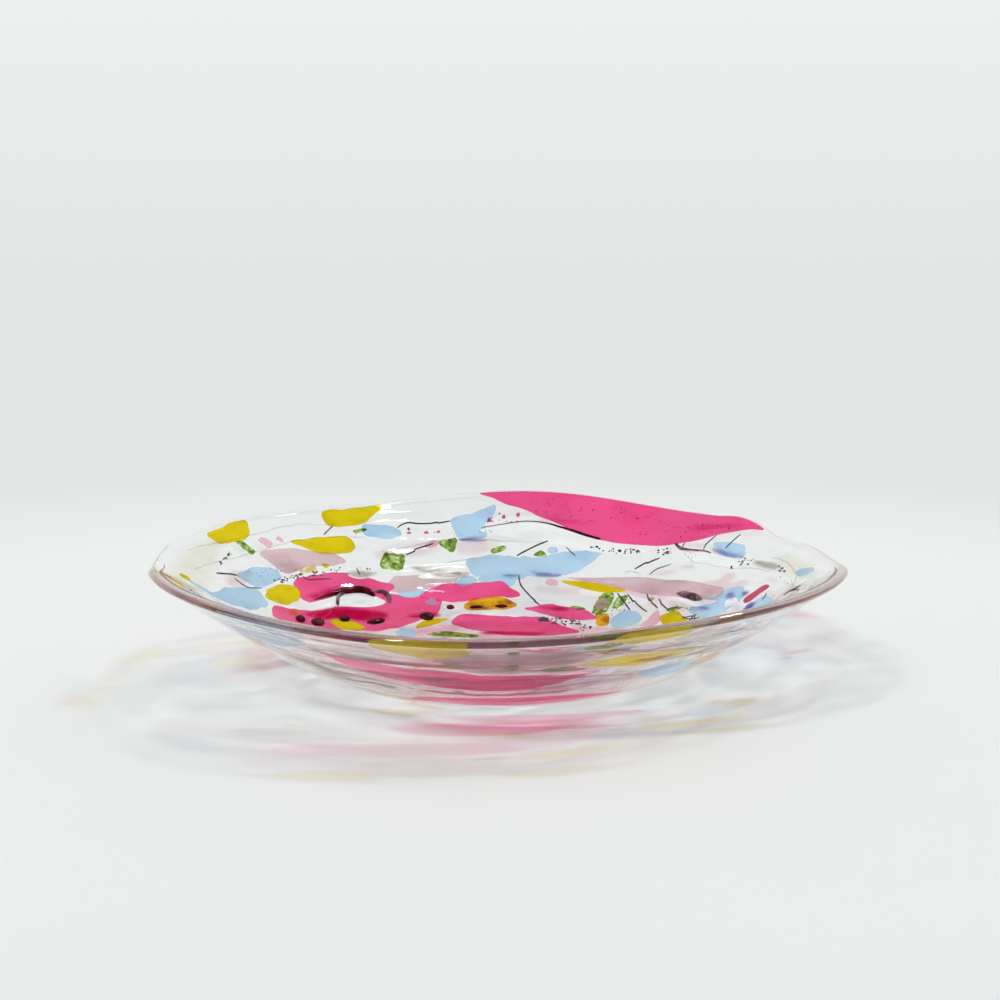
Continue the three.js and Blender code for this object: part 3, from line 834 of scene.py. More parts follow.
def pebble(degrees, share, length, width, turn=0, ragged=0.18):
    """A small irregular outline, its length along the rim at that place unless it is turned."""
    middle = spot(degrees, share)
    count = max(12, round(2 * math.pi * max(length, width) / (1.1 * MM)))
    a = np.arange(count) * 2 * math.pi / count
    seed = degrees * 0.31 + share * 7
    bumps = [noise.noise(Vector((1.3 * math.cos(t), 1.3 * math.sin(t), seed))) * 2 for t in a]
    swell = 1 + ragged * np.array(bumps)
    local = np.stack([length * np.cos(a) * swell, width * np.sin(a) * swell], -1)
    b = math.radians(degrees - 90 + turn)
    spin = np.array([[math.cos(b), -math.sin(b)], [math.sin(b), math.cos(b)]])
    return middle + local @ spin.T


def fine_curve(points):
    """Close points on a smooth curve that runs from the second of the points to the last but one."""
    f = np.linspace(0, 1, 24, endpoint=False)[:, None]
    return np.vstack([spline(*points[i:i + 4], f) for i in range(len(points) - 3)])


def drawn(*places):
    """A closed curve through places given as degrees and share."""
    line = np.array([spot(*place) for place in places])
    return resampled(fine_curve(np.vstack([line[-1:], line, line[:2]])), 1.0 * MM)


def cut_sheets(name, lines, material, proud=PROUD, sunk=SUNK, holes=()):
    """Shards of one glass with drawn outlines, as one piece."""
    glass_piece(name, [plate(line, proud, sunk, CELL, holes) for line in lines], material)


def pebbles(name, places, material, proud=0.15 * MM, sunk=0.34 * MM, ragged=0.18):
    """Small shards of one glass, as one piece."""
    lines = [pebble(degrees, share, length * MM, width * MM, turn, ragged)
             for degrees, share, length, width, turn in places]
    glass_piece(name, [plate(line, proud, sunk, 1.2 * MM) for line in lines], material)


# --------------------------------------------------------------------------------------------------
# Threads, beads and grains.


THREAD_STEP = 0.8 * MM  # between the points of a thread
BLUNT = 1.2  # how many diameters a thread's end takes to round off


def smooth_line(line):
    """An open curve through points, with new points at even steps."""
    line = np.asarray(line, float)
    ends = np.vstack([2 * line[0] - line[1], line, 2 * line[-1] - line[-2]])
    fine = np.vstack([fine_curve(ends), line[-1:]])
    run = np.concatenate([[0], np.cumsum(np.linalg.norm(np.diff(fine, axis=0), axis=1))])
    at = np.linspace(0, run[-1], max(4, round(run[-1] / THREAD_STEP)))
    return np.stack([np.interp(at, run, fine[:, k]) for k in range(fine.shape[1])], -1)


def middle_line(node):
    """The middle line of a frame thread, seen from above."""
    bm = merged(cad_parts[node])
    bm.verts.ensure_lookup_table()
    places = np.array([v.co[:] for v in bm.verts])
    centre = places.mean(0)
    way = np.linalg.svd(places - centre)[2][0]
    start = bm.verts[int(np.argmin((places - centre) @ way))]
    far = {start: 0.0}
    waiting = [start]
    while waiting:
        waiting.sort(key=far.get)
        vert = waiting.pop(0)
        for edge in vert.link_edges:
            other = edge.other_vert(vert)
            reach = far[vert] + edge.calc_length()
            if reach < far.get(other, 1e9) - 1e-9:
                far[other] = reach
                waiting.append(other)
    run = np.array([far[v] for v in bm.verts])
    bm.free()
    bins = max(3, round(run.max() / (3 * MM)))
    which = np.minimum((run / run.max() * bins).astype(int), bins - 1)
    return np.array([places[which == k, :2].mean(0) for k in range(bins) if (which == k).any()])


def thread(name, flat, diameter, material, nodes=(), lift=0.25, thick=(1.0,), wander=0.0):
    """A thread laid along a line seen from above. `thick` gives its thickness at even stations."""
    flat = smooth_line(flat)
    if wander:
        side = np.gradient(flat, axis=0)[:, ::-1] * (1, -1)
        side /= np.linalg.norm(side, axis=1, keepdims=True) + 1e-12
        flat = flat + side * (wander * noisy(flat[:, 0], flat[:, 1], 9 * MM, len(name) * 1.3))[:, None]
    x, y = flat.T
    points = np.stack([x, y, inner_height(x, y)], -1) + normals(x, y) * diameter * lift
    count = len(points)
    share = np.linspace(0, 1, count)
    body = np.interp(share, np.linspace(0, 1, len(thick)), thick)
    tip = np.minimum(share, 1 - share) * (count - 1) * THREAD_STEP / (diameter * BLUNT)
    body = body * np.sqrt(np.clip(1 - (1 - np.clip(tip, 0.02, 1)) ** 2, 0, 1))
    piece = mesh_object(name, points, [], [(i, i + 1) for i in range(count - 1)])
    layer = piece.data.attributes.new("thickness", "FLOAT", "POINT")
    layer.data.foreach_set("value", body.astype(np.float32))
    grown_by(piece, THREAD_TREE, Diameter=diameter, Material=material)
    settle(piece, nodes)


def along(*places):
    """A line through places given as degrees and share."""
    return [spot(*place) for place in places]


def beads(name, places, material):
    """Drops that stand on the inner face: degrees, share, length, width, height and turn of each."""
    rows, columns, lumpy = 9, 20, 0.14
    points, faces = [], []
    for degrees, share, length, width, height, turn in places:
        x, y = spot(degrees, share)
        place = np.array([x, y, float(inner_height(np.array([x]), np.array([y]))[0])])
        up = normals(np.array([x]), np.array([y]))[0]
        b = math.radians(degrees - 90 + turn)
        first = np.array([math.cos(b), math.sin(b), 0])
        first -= up * (first @ up)
        first /= np.linalg.norm(first)
        second = np.cross(up, first)
        base = len(points)
        for i in range(1, rows):
            a = math.pi * i / rows
            for j in range(columns):
                t = 2 * math.pi * j / columns
                lump = 1 + lumpy * noise.noise(Vector((math.cos(t) * 1.4, math.sin(t) * 1.4, a + degrees)))
                local = (length * math.sin(a) * math.cos(t) * lump * first
                         + width * math.sin(a) * math.sin(t) * lump * second + height * math.cos(a) * up)
                points.append(place + local / 2 * MM)
        for i in range(rows - 2):
            row = base + i * columns
            faces += [tuple(reversed(f)) for f in ring_faces(row, row + columns, columns)]
        tall = up * height / 2 * MM
        for pole, row, sign in ((place + tall, 0, 1), (place - tall, rows - 2, -1)):
            tip = len(points)
            points.append(pole)
            for j in range(columns):
                face = (tip, base + row * columns + j, base + row * columns + (j + 1) % columns)
                faces.append(face[::sign])
    settle(mesh_object(name, points, faces), (), material)


def sprinkle(name, places, per_metre, size, seed, material, stretch=1.0):
    """Grains over patches given as degrees, share, length, width and turn."""
    points, faces = [], []
    for degrees, share, length, width, turn in places:
        flat, _, up = net(pebble(degrees, share, length * MM, width * MM, turn), 2 * MM)
        x, y = flat.T
        faces += [tuple(i + len(points) for i in f) for f in up]
        points += [*np.stack([x, y, inner_height(x, y) + 0.1 * MM], -1)]
    piece = mesh_object(name, points, faces)
    grown_by(piece, GRAIN_TREE, Grains_Per_Square_Metre=per_metre, Grain_Size=size, Stretch=stretch,
             Seed=seed, Material=material)
    settle(piece)


# --------------------------------------------------------------------------------------------------
# The bowl.

blank()

# Thin lenses of clear glass, cut as gaps in the colour, which brighten what is behind them: painted
# highlights.
LENSES = [
    drawn((94, 0.862), (88.5, 0.875), (84, 0.882), (80, 0.875), (76, 0.865), (70, 0.852), (62, 0.845),
          (54, 0.853), (56, 0.825), (64, 0.80), (72, 0.806), (80, 0.815), (88, 0.835)),
    drawn((47.5, 0.852), (42, 0.856), (37, 0.86), (31, 0.88), (29.5, 0.862), (34, 0.825), (40, 0.812),
          (45, 0.825)),
    drawn((149.5, 0.673), (142, 0.672), (135.5, 0.674), (129, 0.664), (124.3, 0.63), (128, 0.612),
          (137, 0.622), (145, 0.645)),
    drawn((111, 0.718), (106, 0.729), (101, 0.712), (99.5, 0.70), (105, 0.696)),
    drawn((130, 0.742), (126, 0.75), (122.5, 0.732), (127, 0.722)),
    drawn((35, 0.692), (29, 0.716), (23, 0.728), (23, 0.715), (29, 0.692)),
    drawn((19.5, 0.742), (17, 0.758), (14.5, 0.742), (17, 0.718)),
]
cut_sheets("bright_lenses", LENSES, BRIGHT, proud=0.05 * MM)
YELLOW_FLECKS = [(146, 0.560, 12.0, 5.0, -24), (115, 0.500, 11.0, 2.2, 12)]
GAPS = [*LENSES]
for degrees, share, length, width, turn in YELLOW_FLECKS:
    GAPS.append(pebble(degrees, share, length * MM, width * MM, turn))

SHEETS = {"pink": PINK, "yellow": YELLOW, "amber": AMBER, "blue": BLUE, "mauve": MAUVE, "red": RED}
for node in sorted(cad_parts):
    family = node.split("_")[0]
    if node == "pink_band_back_rim":
        shard(node, BAND)
    elif family in SHEETS:
        shard(node, SHEETS[family])
    elif family == "green":
        shard(node, GREEN, wobble=0.7 * MM, grain=2.2 * MM)
    elif family == "stringer":
        thread(node + "_glass", middle_line(node), 1.05 * MM, BLACK, [node],
               thick=(0.8, 1.0, 0.9, 1.0, 0.75), wander=0.15 * MM)

# Small shards: degrees, share, half length and half width in mm, and turn.
pebbles("rose_chips", [(144.1, 0.90, 4.0, 4.2, 0), (140, 0.90, 2.4, 2.2, 0), (58.3, 0.616, 4.4, 4.0, 0),
                       (75.1, 0.672, 4.0, 2.6, 0), (36, 0.585, 5.0, 8.0, 20), (105, 0.83, 5.0, 2.0, 10)],
        ROSE)
pebbles("yellow_crumbs", [*YELLOW_FLECKS, (134, 0.785, 2.4, 1.6, 0),
                          (158.5, 0.668, 3.0, 2.0, 0), (177.8, 0.925, 3.0, 3.2, 0)], YELLOW)
pebbles("blue_crumbs", [(127, 0.47, 6.0, 5.0, 0), (98.8, 0.678, 6.5, 4.0, 0), (77, 0.79, 3.0, 2.5, 0),
                        (110.6, 0.60, 4.0, 3.0, 0), (178.7, 0.868, 9.0, 2.2, 82)], BLUE)
cut_sheets("green_crumbs", [
    drawn((91.6, 0.79), (89.0, 0.806), (88.0, 0.792), (91.0, 0.772)),
    drawn((81.4, 0.768), (79.8, 0.787), (78.3, 0.768)),
    drawn((121.3, 0.902), (118.6, 0.905), (118.4, 0.896), (121.0, 0.893)),
    drawn((120.5, 0.436), (116, 0.448), (111, 0.447), (106, 0.430), (101, 0.415), (98.5, 0.403),
          (102, 0.394), (108, 0.402), (115, 0.416)),
    drawn((35.0, 0.640), (33.0, 0.658), (31.0, 0.668), (31.4, 0.648), (33.5, 0.634)),
    drawn((45.3, 0.668), (43.6, 0.676), (43.3, 0.662)),
    drawn((54.6, 0.650), (52.0, 0.664), (51.6, 0.640), (52.2, 0.618), (54.0, 0.610)),
    drawn((67.2, 0.584), (64.5, 0.592), (62.0, 0.588), (64.5, 0.577)),
    drawn((273.2, 0.948), (271.6, 0.948), (271.6, 0.930), (273.2, 0.930)),
    drawn((273.4, 0.852), (271.6, 0.852), (271.6, 0.828), (273.4, 0.828)),
    drawn((284.5, 0.82), (279.5, 0.826), (278.0, 0.806), (283.0, 0.798)),
    drawn((263.4, 0.876), (260.6, 0.872), (260.8, 0.850), (263.2, 0.846)),
    drawn((289.5, 0.955), (284.5, 0.957), (284.0, 0.935), (288.5, 0.932)),
], GREEN)

cut_sheets("blue_slips", [
    drawn((88.6, 0.758), (85.5, 0.757), (82.6, 0.750), (82.8, 0.680), (88.8, 0.686)),
    drawn((95.3, 0.684), (91.0, 0.693), (86.0, 0.690), (85.4, 0.658), (88.0, 0.640), (92.5, 0.645)),
], BLUE,
           holes=[OUTLINES[node] for node in ("blue_slab_back", "blue_fin_back", "pink_leaf_back")])
# Violet films: painted shade.
cut_sheets("violet_shade_films", [
    drawn((22.4, 0.768), (19.8, 0.770), (17.4, 0.758), (18.4, 0.738), (21.4, 0.742)),
    drawn((18.6, 0.788), (16.2, 0.798), (14.8, 0.782), (16.4, 0.764)),
    drawn((28.0, 0.704), (24.0, 0.706), (20.0, 0.694), (22.0, 0.682), (26.0, 0.686)),
    drawn((82.0, 0.710), (76.5, 0.713), (71.4, 0.706), (74.0, 0.690), (80.0, 0.688)),
    drawn((89.4, 0.700), (84.2, 0.697), (84.0, 0.680), (88.8, 0.682)),
    drawn((98.6, 0.842), (93.0, 0.838), (92.0, 0.822), (97.8, 0.822)),
    drawn((39.6, 0.884), (35.4, 0.888), (31.0, 0.906), (30.6, 0.886), (35.0, 0.862), (39.2, 0.864)),
    drawn((10.6, 0.775), (8.0, 0.785), (6.6, 0.760), (8.4, 0.738), (10.6, 0.748)),
], FILM["violet"], proud=0.2 * MM)
pebbles("orange_crumbs", [(236, 0.44, 13.0, 5.0, 0), (322, 0.66, 7.0, 3.0, 0)], AMBER)
pebbles("red_crumbs", [(91.8, 0.901, 1.5, 1.5, 0), (88.8, 0.911, 1.3, 1.3, 0), (85.9, 0.916, 1.2, 1.1, 0),
                       (89.7, 0.922, 0.7, 0.6, 0), (86.0, 0.891, 0.7, 0.9, 0), (109.3, 0.878, 1.4, 0.8, 0),
                       (105.6, 0.873, 1.5, 0.9, 0), (102.9, 0.871, 1.2, 0.8, 0), (300, 0.815, 12, 1.8, 0)],
        DEEP_PINK, ragged=0.35)

# Films: colour that lies thinly on other glass, and fades out. The smoke and lilac films below are painted
# shade, and the red film a painted reflection.
cut_sheets("deep_pink_films", [
    drawn((158, 0.655), (152, 0.655), (141, 0.64), (131, 0.61), (126, 0.58), (129, 0.545), (135, 0.545),
          (143, 0.572), (152, 0.605)),
    drawn((121, 0.565), (115, 0.57), (109, 0.555), (110, 0.52), (116, 0.512), (121, 0.53)),
    drawn((150, 0.700), (141, 0.712), (133, 0.712), (124, 0.69), (127, 0.672), (136, 0.672), (145, 0.672)),
    drawn((78, 0.57), (70, 0.585), (66, 0.58), (68, 0.55), (77, 0.55)),
    drawn((98, 0.44), (85, 0.437), (70, 0.442), (72, 0.405), (86, 0.398), (97, 0.405)),
], FILM["deep pink"], proud=0.2 * MM, sunk=0.35 * MM)
cut_sheets("folded_band_films", [
    drawn((50, 0.952), (45, 0.972), (39, 0.985), (36, 0.978), (39, 0.948), (44, 0.930), (49, 0.926)),
    drawn((86, 0.90), (78, 0.915), (70, 0.905), (72, 0.882), (80, 0.88)),
], FILM["folded band"], proud=0.2 * MM, sunk=0.35 * MM)
# A whole sheet, not a film, low in the front wall: a painted reflection, for the pink that the wall shows of
# the glass beyond it. Its outline is a guess.
cut_sheets("front_foot_reflection_sheets", [
    drawn((307, 0.565), (292, 0.60), (272, 0.618), (256, 0.612), (246, 0.575), (254, 0.525),
          (274, 0.495), (295, 0.505)),
], PINK, proud=0.1 * MM)
# Smoke films: painted soft grey-brown shadows.
cut_sheets("smoke_shade_films", [
    drawn((131.5, 0.750), (126.5, 0.760), (120.5, 0.740), (126.5, 0.718)),
    drawn((111.5, 0.762), (106, 0.750), (102, 0.730), (97, 0.714), (98, 0.692), (103, 0.696), (107, 0.716),
          (111.5, 0.740)),
    drawn((28, 0.890), (22, 0.878), (17.5, 0.888), (19, 0.916), (26, 0.912)),
    drawn((232, 0.672), (226, 0.690), (222, 0.672), (228, 0.650)),
    drawn((104, 0.412), (99.5, 0.410), (96.5, 0.400), (99.0, 0.386), (103.5, 0.390)),
], FILM["smoke"], proud=0.16 * MM)
cut_sheets("ivory_films", [
    drawn((190, 0.975), (180, 0.985), (168, 0.985), (157, 0.975), (153, 0.93), (160, 0.885), (172, 0.85),
          (184, 0.86)),
    drawn((24, 0.97), (14, 0.975), (4, 0.97), (2, 0.92), (10, 0.88), (22, 0.90)),
], FILM["ivory"], proud=0.06 * MM)
cut_sheets("rose_films", [
    drawn((120, 0.82), (112, 0.85), (104, 0.855), (103, 0.80), (112, 0.78), (119, 0.78)),
    drawn((99.5, 0.84), (91, 0.835), (89, 0.80), (95, 0.76), (100, 0.78)),
    drawn((52, 0.76), (46, 0.79), (41, 0.78), (44, 0.75), (50, 0.735)),
    drawn((79, 0.66), (70, 0.665), (66, 0.64), (74, 0.61), (80, 0.63)),
    drawn((170, 0.84), (163, 0.86), (156, 0.84), (160, 0.79), (168, 0.79)),
    drawn((38, 0.69), (32, 0.69), (27, 0.67), (31, 0.63), (37, 0.65)),
    drawn((112, 0.50), (100, 0.50), (92, 0.47), (100, 0.44), (112, 0.46)),
], FILM["rose"], proud=0.06 * MM)
# Lilac films in the front wall: painted shade.
cut_sheets("lilac_shade_films", [
    drawn((292, 0.97), (274, 0.98), (256, 0.975), (244, 0.95), (238, 0.88), (250, 0.84), (272, 0.83),
          (290, 0.86)),
    drawn((255, 0.87), (240, 0.91), (226, 0.93), (214, 0.91), (218, 0.86), (232, 0.84), (246, 0.81)),
    drawn((320, 0.95), (304, 0.93), (290, 0.92), (290, 0.86), (304, 0.86), (318, 0.88)),
    drawn((312, 0.74), (294, 0.76), (276, 0.775), (258, 0.77), (254, 0.70), (272, 0.655), (292, 0.655),
          (308, 0.69)),
    drawn((250, 0.74), (236, 0.79), (222, 0.83), (208, 0.86), (206, 0.80), (224, 0.72), (240, 0.67)),
    drawn((345, 0.86), (330, 0.86), (314, 0.84), (312, 0.78), (326, 0.75), (342, 0.78)),
], FILM["lilac"], proud=0.06 * MM)
# A red film in the front wall: a painted reflection of the pink glass.
cut_sheets("red_reflection_films", [
    drawn((262, 0.772), (248, 0.775), (236, 0.785), (232, 0.765), (244, 0.745), (260, 0.745)),
], FILM["red"], proud=0.06 * MM)
cut_sheets("olive_films", [
    drawn((236, 0.70), (230, 0.76), (223, 0.785), (220, 0.76), (226, 0.70), (233, 0.67)),
], FILM["olive"], proud=0.06 * MM)
cut_sheets("amber_films", [
    drawn((145.5, 0.796), (142, 0.786), (137.2, 0.794), (137.6, 0.766), (142, 0.764)),
    drawn((190, 0.990), (184, 0.990), (184, 0.950), (190, 0.955)),
], FILM["amber"], proud=0.2 * MM)

# Crests: where a fold has drawn the colour together into a thick dark line.
thread("crest_band", along((93.6, 0.87), (84, 0.89), (76, 0.87), (67, 0.85)),
       1.6 * MM, CRIMSON, thick=(0.3, 0.35, 0.5, 1.1, 1.0))
thread("crest_band_end", along((49.6, 0.874), (47.4, 0.859), (44.2, 0.858), (41, 0.860), (38.5, 0.858)),
       1.8 * MM, PLUM, thick=(1.0, 1.2, 0.6, 0.6, 0.5))
thread("crest_leaf_left", along((148, 0.676), (141, 0.680), (135, 0.684), (131, 0.682), (128.4, 0.668),
                                (127, 0.645)), 4.2 * MM,
       CRIMSON, thick=(0.15, 0.3, 0.6, 1.3, 1.3, 0.9))
thread("stem_leaf_left", along((135.6, 0.672), (138.4, 0.664), (140.6, 0.646), (141.6, 0.634)), 2.4 * MM,
       PLUM, thick=(0.8, 1.0, 1.0, 0.9))
thread("twist_leaf_left", along((126, 0.668), (123.6, 0.664), (122.6, 0.645), (123.6, 0.616)), 2.8 * MM,
       PLUM, thick=(0.7, 1.1, 1.1, 0.7))
thread("crest_mauve_blade", along((37, 0.698), (34, 0.706), (31, 0.712), (27.4, 0.716)),
       4.6 * MM, PLUM, thick=(0.4, 1.0, 1.1, 0.7))
beads("crimson_drops", [(159.6, 0.641, 8, 6, 4.5, 0), (154.4, 0.611, 12, 8, 4.5, 10),
                        (144.2, 0.584, 9, 5, 4, 0), (133.5, 0.550, 14, 5, 3.5, 0),
                        (115.0, 0.528, 9, 8, 5, 0), (105.2, 0.575, 5, 4, 3, 0),
                        (96.9, 0.567, 9, 4, 2.5, 0), (89.0, 0.563, 8, 5, 2.5, 0)], CRIMSON)

# Hair-thin black threads.
HAIRS = {
    "hair_back_a": [(74.2, 0.805), (72.8, 0.79), (71.2, 0.775)],
    "hair_band_a": [(46.5, 0.853), (47.4, 0.865), (47.4, 0.884)],
    "hair_band_b": [(41.3, 0.862), (41.8, 0.881), (41.1, 0.922)],
    "hair_band_c": [(36.4, 0.888), (36.3, 0.918), (36.0, 0.950)],
    "hair_stroke": [(50.1, 0.746), (49.4, 0.768), (46.5, 0.798)],
    "hair_stick": [(126.2, 0.766), (126.4, 0.750), (126.4, 0.735)],
    "hair_thin_left": [(143.4, 0.761), (142.1, 0.742), (135.4, 0.736)],
    "hair_by_red": [(7.6, 0.796), (8.6, 0.808), (10.0, 0.818)],
    "hair_right_a": [(2.1, 0.844), (2.3, 0.866), (1.4, 0.895)],
    "hair_right_b": [(2.8, 0.862), (0.4, 0.875), (358.0, 0.884)],
    "hair_left_a": [(164.6, 0.830), (164.3, 0.791), (159.9, 0.768)],
    "hair_tangle_a": [(27.0, 0.639), (23.3, 0.637), (20.2, 0.656)],
    "hair_tangle_b": [(26.0, 0.630), (23.0, 0.652), (20.4, 0.640)],
    "hair_tangle_c": [(23.4, 0.665), (22.4, 0.635), (20.8, 0.630)],
}
for name, places in HAIRS.items():
    thread(name, along(*places), 0.7 * MM, BLACK, thick=(0.8, 1.0, 1.0, 0.7), wander=0.3 * MM)

# Thin tinted threads in the front wall: painted shade, a stand-in for the dark lines that such a wall shows.
WALL_LINES = {
    "wall_line_dark_a": (along((265, 0.812), (273, 0.818), (284, 0.80)), 1.1 * MM, PLUM),
    "wall_line_dark_b": (along((262, 0.745), (275, 0.75), (290, 0.735), (300, 0.72)), 0.9 * MM, PLUM),
    "wall_line_dark_c": (along((262, 0.575), (276, 0.58), (290, 0.57)), 1.2 * MM, PLUM),
    "wall_line_dark_d": (along((305, 0.925), (315, 0.905), (326, 0.89)), 0.9 * MM, BLACK),
    "wall_line_dark_e": (along((312, 0.89), (320, 0.885), (331, 0.865)), 0.7 * MM, BLACK),
    "wall_line_dark_f": (along((300, 0.80), (310, 0.79), (318, 0.785)), 0.9 * MM, PLUM),
    "wall_line_left_a": (along((240, 0.865), (250, 0.845), (258, 0.835)), 1.0 * MM, BLACK),
    "wall_line_left_b": (along((214, 0.86), (224, 0.81), (236, 0.755)), 1.0 * MM, PLUM),
    "wall_line_left_c": (along((222, 0.715), (234, 0.675), (246, 0.64)), 1.2 * MM, PLUM),
    "wall_line_wine_a": (along((224, 0.865), (236, 0.85), (250, 0.842), (264, 0.836), (278, 0.83)),
                         1.0 * MM, WINE_WALL_SHADE),
    "wall_line_wine_b": (along((229, 0.75), (242, 0.70), (256, 0.655), (270, 0.64), (284, 0.642),
                               (298, 0.655)), 1.3 * MM, WINE_WALL_SHADE),
    "wall_line_wine_c": (along((240, 0.58), (252, 0.525), (264, 0.50), (278, 0.495), (290, 0.51),
                               (302, 0.54)), 1.7 * MM, WINE_WALL_SHADE),
    "wall_line_wine_d": (along((286, 0.90), (298, 0.87), (312, 0.83), (326, 0.79)), 0.9 * MM, WINE_WALL_SHADE),
    "wall_line_wine_e": (along((204, 0.93), (214, 0.90), (226, 0.87)), 0.9 * MM, WINE_WALL_SHADE),
    "wall_line_right": (along((322, 0.78), (332, 0.76), (342, 0.75)), 0.9 * MM, CRIMSON),
}
for name, (line, width, glass) in WALL_LINES.items():
    thread(name, line, width, glass, thick=(0.3, 0.8, 1.0, 0.7, 0.3), wander=0.4 * MM)

# Umber threads along the rim's near edge: painted shade, a stand-in for the dark line that such a rim shows.
RIM_LINE = 0.986  # its share of the way out
RIM_ARCS = {
    "rim_edge_left": (178, 189, 200, 212, 224, 236),
    "rim_edge_front": (234, 246, 258, 270, 282, 294, 306),
    "rim_edge_right": (304, 316, 328, 340, 350, 358),
}
for name, turns in RIM_ARCS.items():
    thread(name, along(*((degrees, RIM_LINE) for degrees in turns)), 1.3 * MM, UMBER_RIM_SHADE,
           thick=(0.5, 1.0, 0.9, 1.0, 0.5), wander=0.2 * MM)

# Faint grey lines: painted shade, a stand-in for the lines that the edges of the clear sheets in the blank
# show.
EDGES = {
    "sheet_edge_left": [(172.2, 0.916), (162, 0.889), (153.3, 0.881), (146, 0.878), (136.9, 0.885),
                        (128.6, 0.889), (119.6, 0.876)],
    "sheet_edge_left_rim": [(167.1, 0.961), (158.7, 0.946), (145.3, 0.936), (134.8, 0.946),
                            (126, 0.932)],
    "sheet_edge_middle": [(117.5, 0.811), (111, 0.826), (105.1, 0.837), (98.2, 0.830), (88.2, 0.821),
                          (79.6, 0.822)],
    "sheet_edge_low": [(105, 0.740), (101.7, 0.757), (96.1, 0.756), (91, 0.758)],
    "sheet_edge_right": [(45.6, 0.842), (42.5, 0.820), (40, 0.809), (35.2, 0.825), (25.3, 0.870),
                         (18.4, 0.876)],
    "sheet_edge_arc": [(57.3, 0.738), (55.3, 0.748), (52.6, 0.747)],
    "sheet_edge_lobe": [(24, 0.93), (16, 0.925), (8, 0.90), (3, 0.855)],
}
for name, places in EDGES.items():
    thread(name, along(*places), 0.9 * MM, EDGE, lift=0.0, thick=(0.5, 1.0, 0.8, 1.0, 0.5),
           wander=0.5 * MM)

# Frit: patches as degrees, share, half length and half width in mm, and turn.
sprinkle("black_frit", [(64, 0.815, 14, 2.2, 0), (58.5, 0.824, 7, 1.8, 0), (50.9, 0.84, 6, 2.6, 0),
                        (29.1, 0.889, 5, 5, 0), (30.2, 0.855, 3, 1.5, 0), (16, 0.90, 8, 1.5, 0),
                        (148, 0.765, 12, 1.8, 0), (138, 0.757, 7, 1.8, 0), (131.6, 0.764, 5, 3.0, 0),
                        (123.8, 0.758, 5, 1.5, 0), (159.4, 0.890, 15, 1.4, 8), (66, 0.505, 12, 3.5, 4),
                        (58, 0.502, 6, 4.0, 0)], 170000.0, 1.9 * MM, 4, BLACK, stretch=1.5)
pebbles("black_chips", [(73.4, 0.503, 3.4, 2.0, 0), (109.1, 0.892, 0.9, 0.9, 0),
                        (61.5, 0.818, 1.3, 0.8, 0)],
        BLACK, ragged=0.4)
sprinkle("fine_black_frit", [(96, 0.855, 18, 2.0, 0), (45, 0.83, 14, 2.0, 0), (150, 0.80, 18, 3, 0),
                             (10, 0.88, 12, 3.0, 0), (284, 0.66, 38, 4.0, 0), (190, 0.89, 12, 3, 0),
                             (220, 0.90, 16, 2.0, 0), (305, 0.83, 22, 2.5, 0)],
         60000.0, 1.0 * MM, 8, BLACK, stretch=1.8)
sprinkle("red_frit", [(104, 0.872, 12, 1.6, 0), (89, 0.895, 12, 3.0, 0), (98, 0.838, 6, 1.2, 0),
                      (51, 0.865, 5, 1.0, 0),
                      (120, 0.895, 9, 1.6, 0)], 60000.0, 1.6 * MM, 11, RED)
sprinkle("green_frit_dust", [(57, 0.585, 12, 4, 0), (30, 0.655, 8, 4, 0), (115.9, 0.765, 7, 4, 0),
                             (52, 0.63, 6, 7, 20)], 90000.0, 1.5 * MM, 5, GREEN)
sprinkle("band_specks", [(76, 0.945, 26, 7, 0), (61, 0.93, 30, 10, 0),
                         (46, 0.93, 26, 8, 0)], 22000.0, 1.3 * MM, 31,
         CRIMSON)
# Bubbles in the lens glass that brightens what is behind it: small painted highlights.
sprinkle("bubbles", [(90, 0.80, 70, 10, 0), (150, 0.80, 40, 12, 0), (40, 0.80, 45, 10, 0),
                     (270, 0.8, 70, 20, 0)],
         3000.0, 0.9 * MM, 21, BRIGHT)

# --------------------------------------------------------------------------------------------------
# The table, its sweep up behind, and the light.

NEAR = 0.45  # the table is plain paint up to this far from the bowl, in metres
FAR = 0.85  # and a lit screen from this far


def table_top():
    s = Shader("pale table")
    place = s.place()
    cloud = s.add("TexNoise", _0=place, Scale=3.0, Detail=2.0).outputs[0]
    tone = s.mix(cloud, (0.805, 0.815, 0.81, 1), (0.825, 0.835, 0.83, 1))
    paint = s.add("BsdfDiffuse", Color=tone)
    height = s.add("SeparateXYZ", _0=place).outputs[2]
    rise = s.add("MapRange", _0=height, _1=0.0, _2=0.45, _3=0.0, _4=1.0).outputs[0]
    glow = s.mix(rise, (0.765, 0.785, 0.775, 1), (0.845, 0.865, 0.855, 1))
    screen = s.add("Emission", Color=glow, Strength=1.0)
    away = s.add("VectorMath", {"operation": "LENGTH"}, _0=place).outputs["Value"]
    share = s.add("MapRange", {"interpolation_type": "SMOOTHSTEP"}, _0=away, _1=NEAR, _2=FAR).outputs[0]
    material = s.done(s.shaders(share, paint, screen))
    front, back, half, bend = -5.0, 2.2, 5.0, 1.2
    line = [(front, 0.0), (back, 0.0)]
    for i in range(1, 17):
        a = math.pi / 2 * i / 16
        line.append((back + bend * math.sin(a), bend * (1 - math.cos(a))))
    line.append((back + bend, 4.0))
    points = [(x, y, z) for y, z in line for x in (-half, half)]
    faces = [(2 * i, 2 * i + 1, 2 * i + 3, 2 * i + 2) for i in range(len(line) - 1)]
    sweep = mesh_object("table_sweep", points, faces)
    sweep.data.materials.append(material)
    sweep.data.polygons.foreach_set("use_smooth", [True] * len(faces))
    sweep.visible_shadow = False


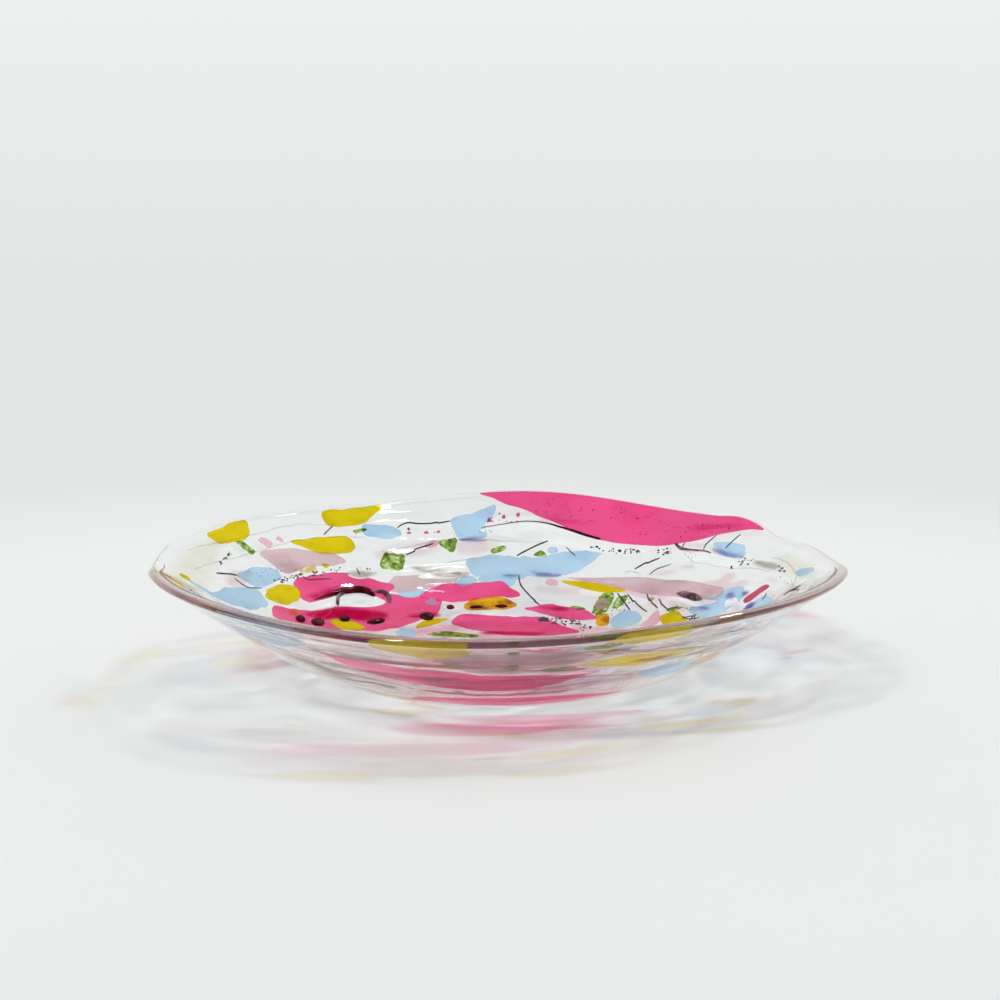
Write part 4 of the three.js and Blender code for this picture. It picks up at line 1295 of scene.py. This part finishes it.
def towards(azimuth, elevation):
    """A direction, with azimuth counted from +X towards +Y."""
    a, e = math.radians(azimuth), math.radians(elevation)
    return Vector((math.cos(a) * math.cos(e), math.sin(a) * math.cos(e), math.sin(e)))


def lamp(name, kind, azimuth, elevation, distance, **settings):
    data = bpy.data.lights.new(name, kind)
    for key, value in settings.items():
        setattr(data, key, value)
    made = bpy.data.objects.new(name, data)
    way = towards(azimuth, elevation)
    made.location = AIM + distance * way
    made.rotation_euler = way.to_track_quat("Z", "Y").to_euler()
    made.visible_camera = False
    bpy.context.scene.collection.objects.link(made)
    return made


ON_PAINT = 0.46  # how much of the room's light falls on what is dull; the lamps give the rest


# The room's light from the way that is behind the camera, and from the way behind the bowl: the place along Y
# of a direction of length 1, and the light from there.
BEHIND_CAMERA = (-1.0, 0.56)
BEHIND_BOWL = (0.6, 0.82)


def room():
    """A dim room, brighter behind the bowl than behind the camera."""
    world = bpy.data.worlds.new("room")
    world.use_nodes = True
    tree = world.node_tree
    background = tree.nodes["Background"]
    place = tree.nodes.new("ShaderNodeTexCoord").outputs["Generated"]
    parts = tree.nodes.new("ShaderNodeSeparateXYZ")
    tree.links.new(place, parts.inputs[0])
    ramp = tree.nodes.new("ShaderNodeMapRange")
    tree.links.new(parts.outputs[1], ramp.inputs[0])
    for i, pair in enumerate(zip(BEHIND_CAMERA, BEHIND_BOWL)):
        ramp.inputs[2 * i + 1].default_value = pair[0]
        ramp.inputs[2 * i + 2].default_value = pair[1]
    path = tree.nodes.new("ShaderNodeLightPath")
    dim = tree.nodes.new("ShaderNodeMapRange")
    tree.links.new(path.outputs["Is Diffuse Ray"], dim.inputs[0])
    dim.inputs[3].default_value = 1.0
    dim.inputs[4].default_value = ON_PAINT
    level = tree.nodes.new("ShaderNodeMath")
    level.operation = "MULTIPLY"
    tree.links.new(ramp.outputs[0], level.inputs[0])
    tree.links.new(dim.outputs[0], level.inputs[1])
    tree.links.new(level.outputs[0], background.inputs["Strength"])
    background.inputs["Color"].default_value = (0.97, 0.99, 1.0, 1)
    bpy.context.scene.world = world


table_top()
room()
lamp("key", "SUN", 28, 50, 2.0, energy=1.05, angle=math.radians(6.0))
lamp("fill", "SUN", 233, 42, 2.0, energy=1.78, angle=math.radians(5.0))
SKY_WIDE, SKY_HIGH, SKY_RADIANCE = 0.16, 0.10, 12.0
sky = lamp("sky", "AREA", 70, 66, 1.8, shape="RECTANGLE", size=SKY_WIDE, size_y=SKY_HIGH,
           energy=SKY_RADIANCE * math.pi * SKY_WIDE * SKY_HIGH)
sky.visible_diffuse = False
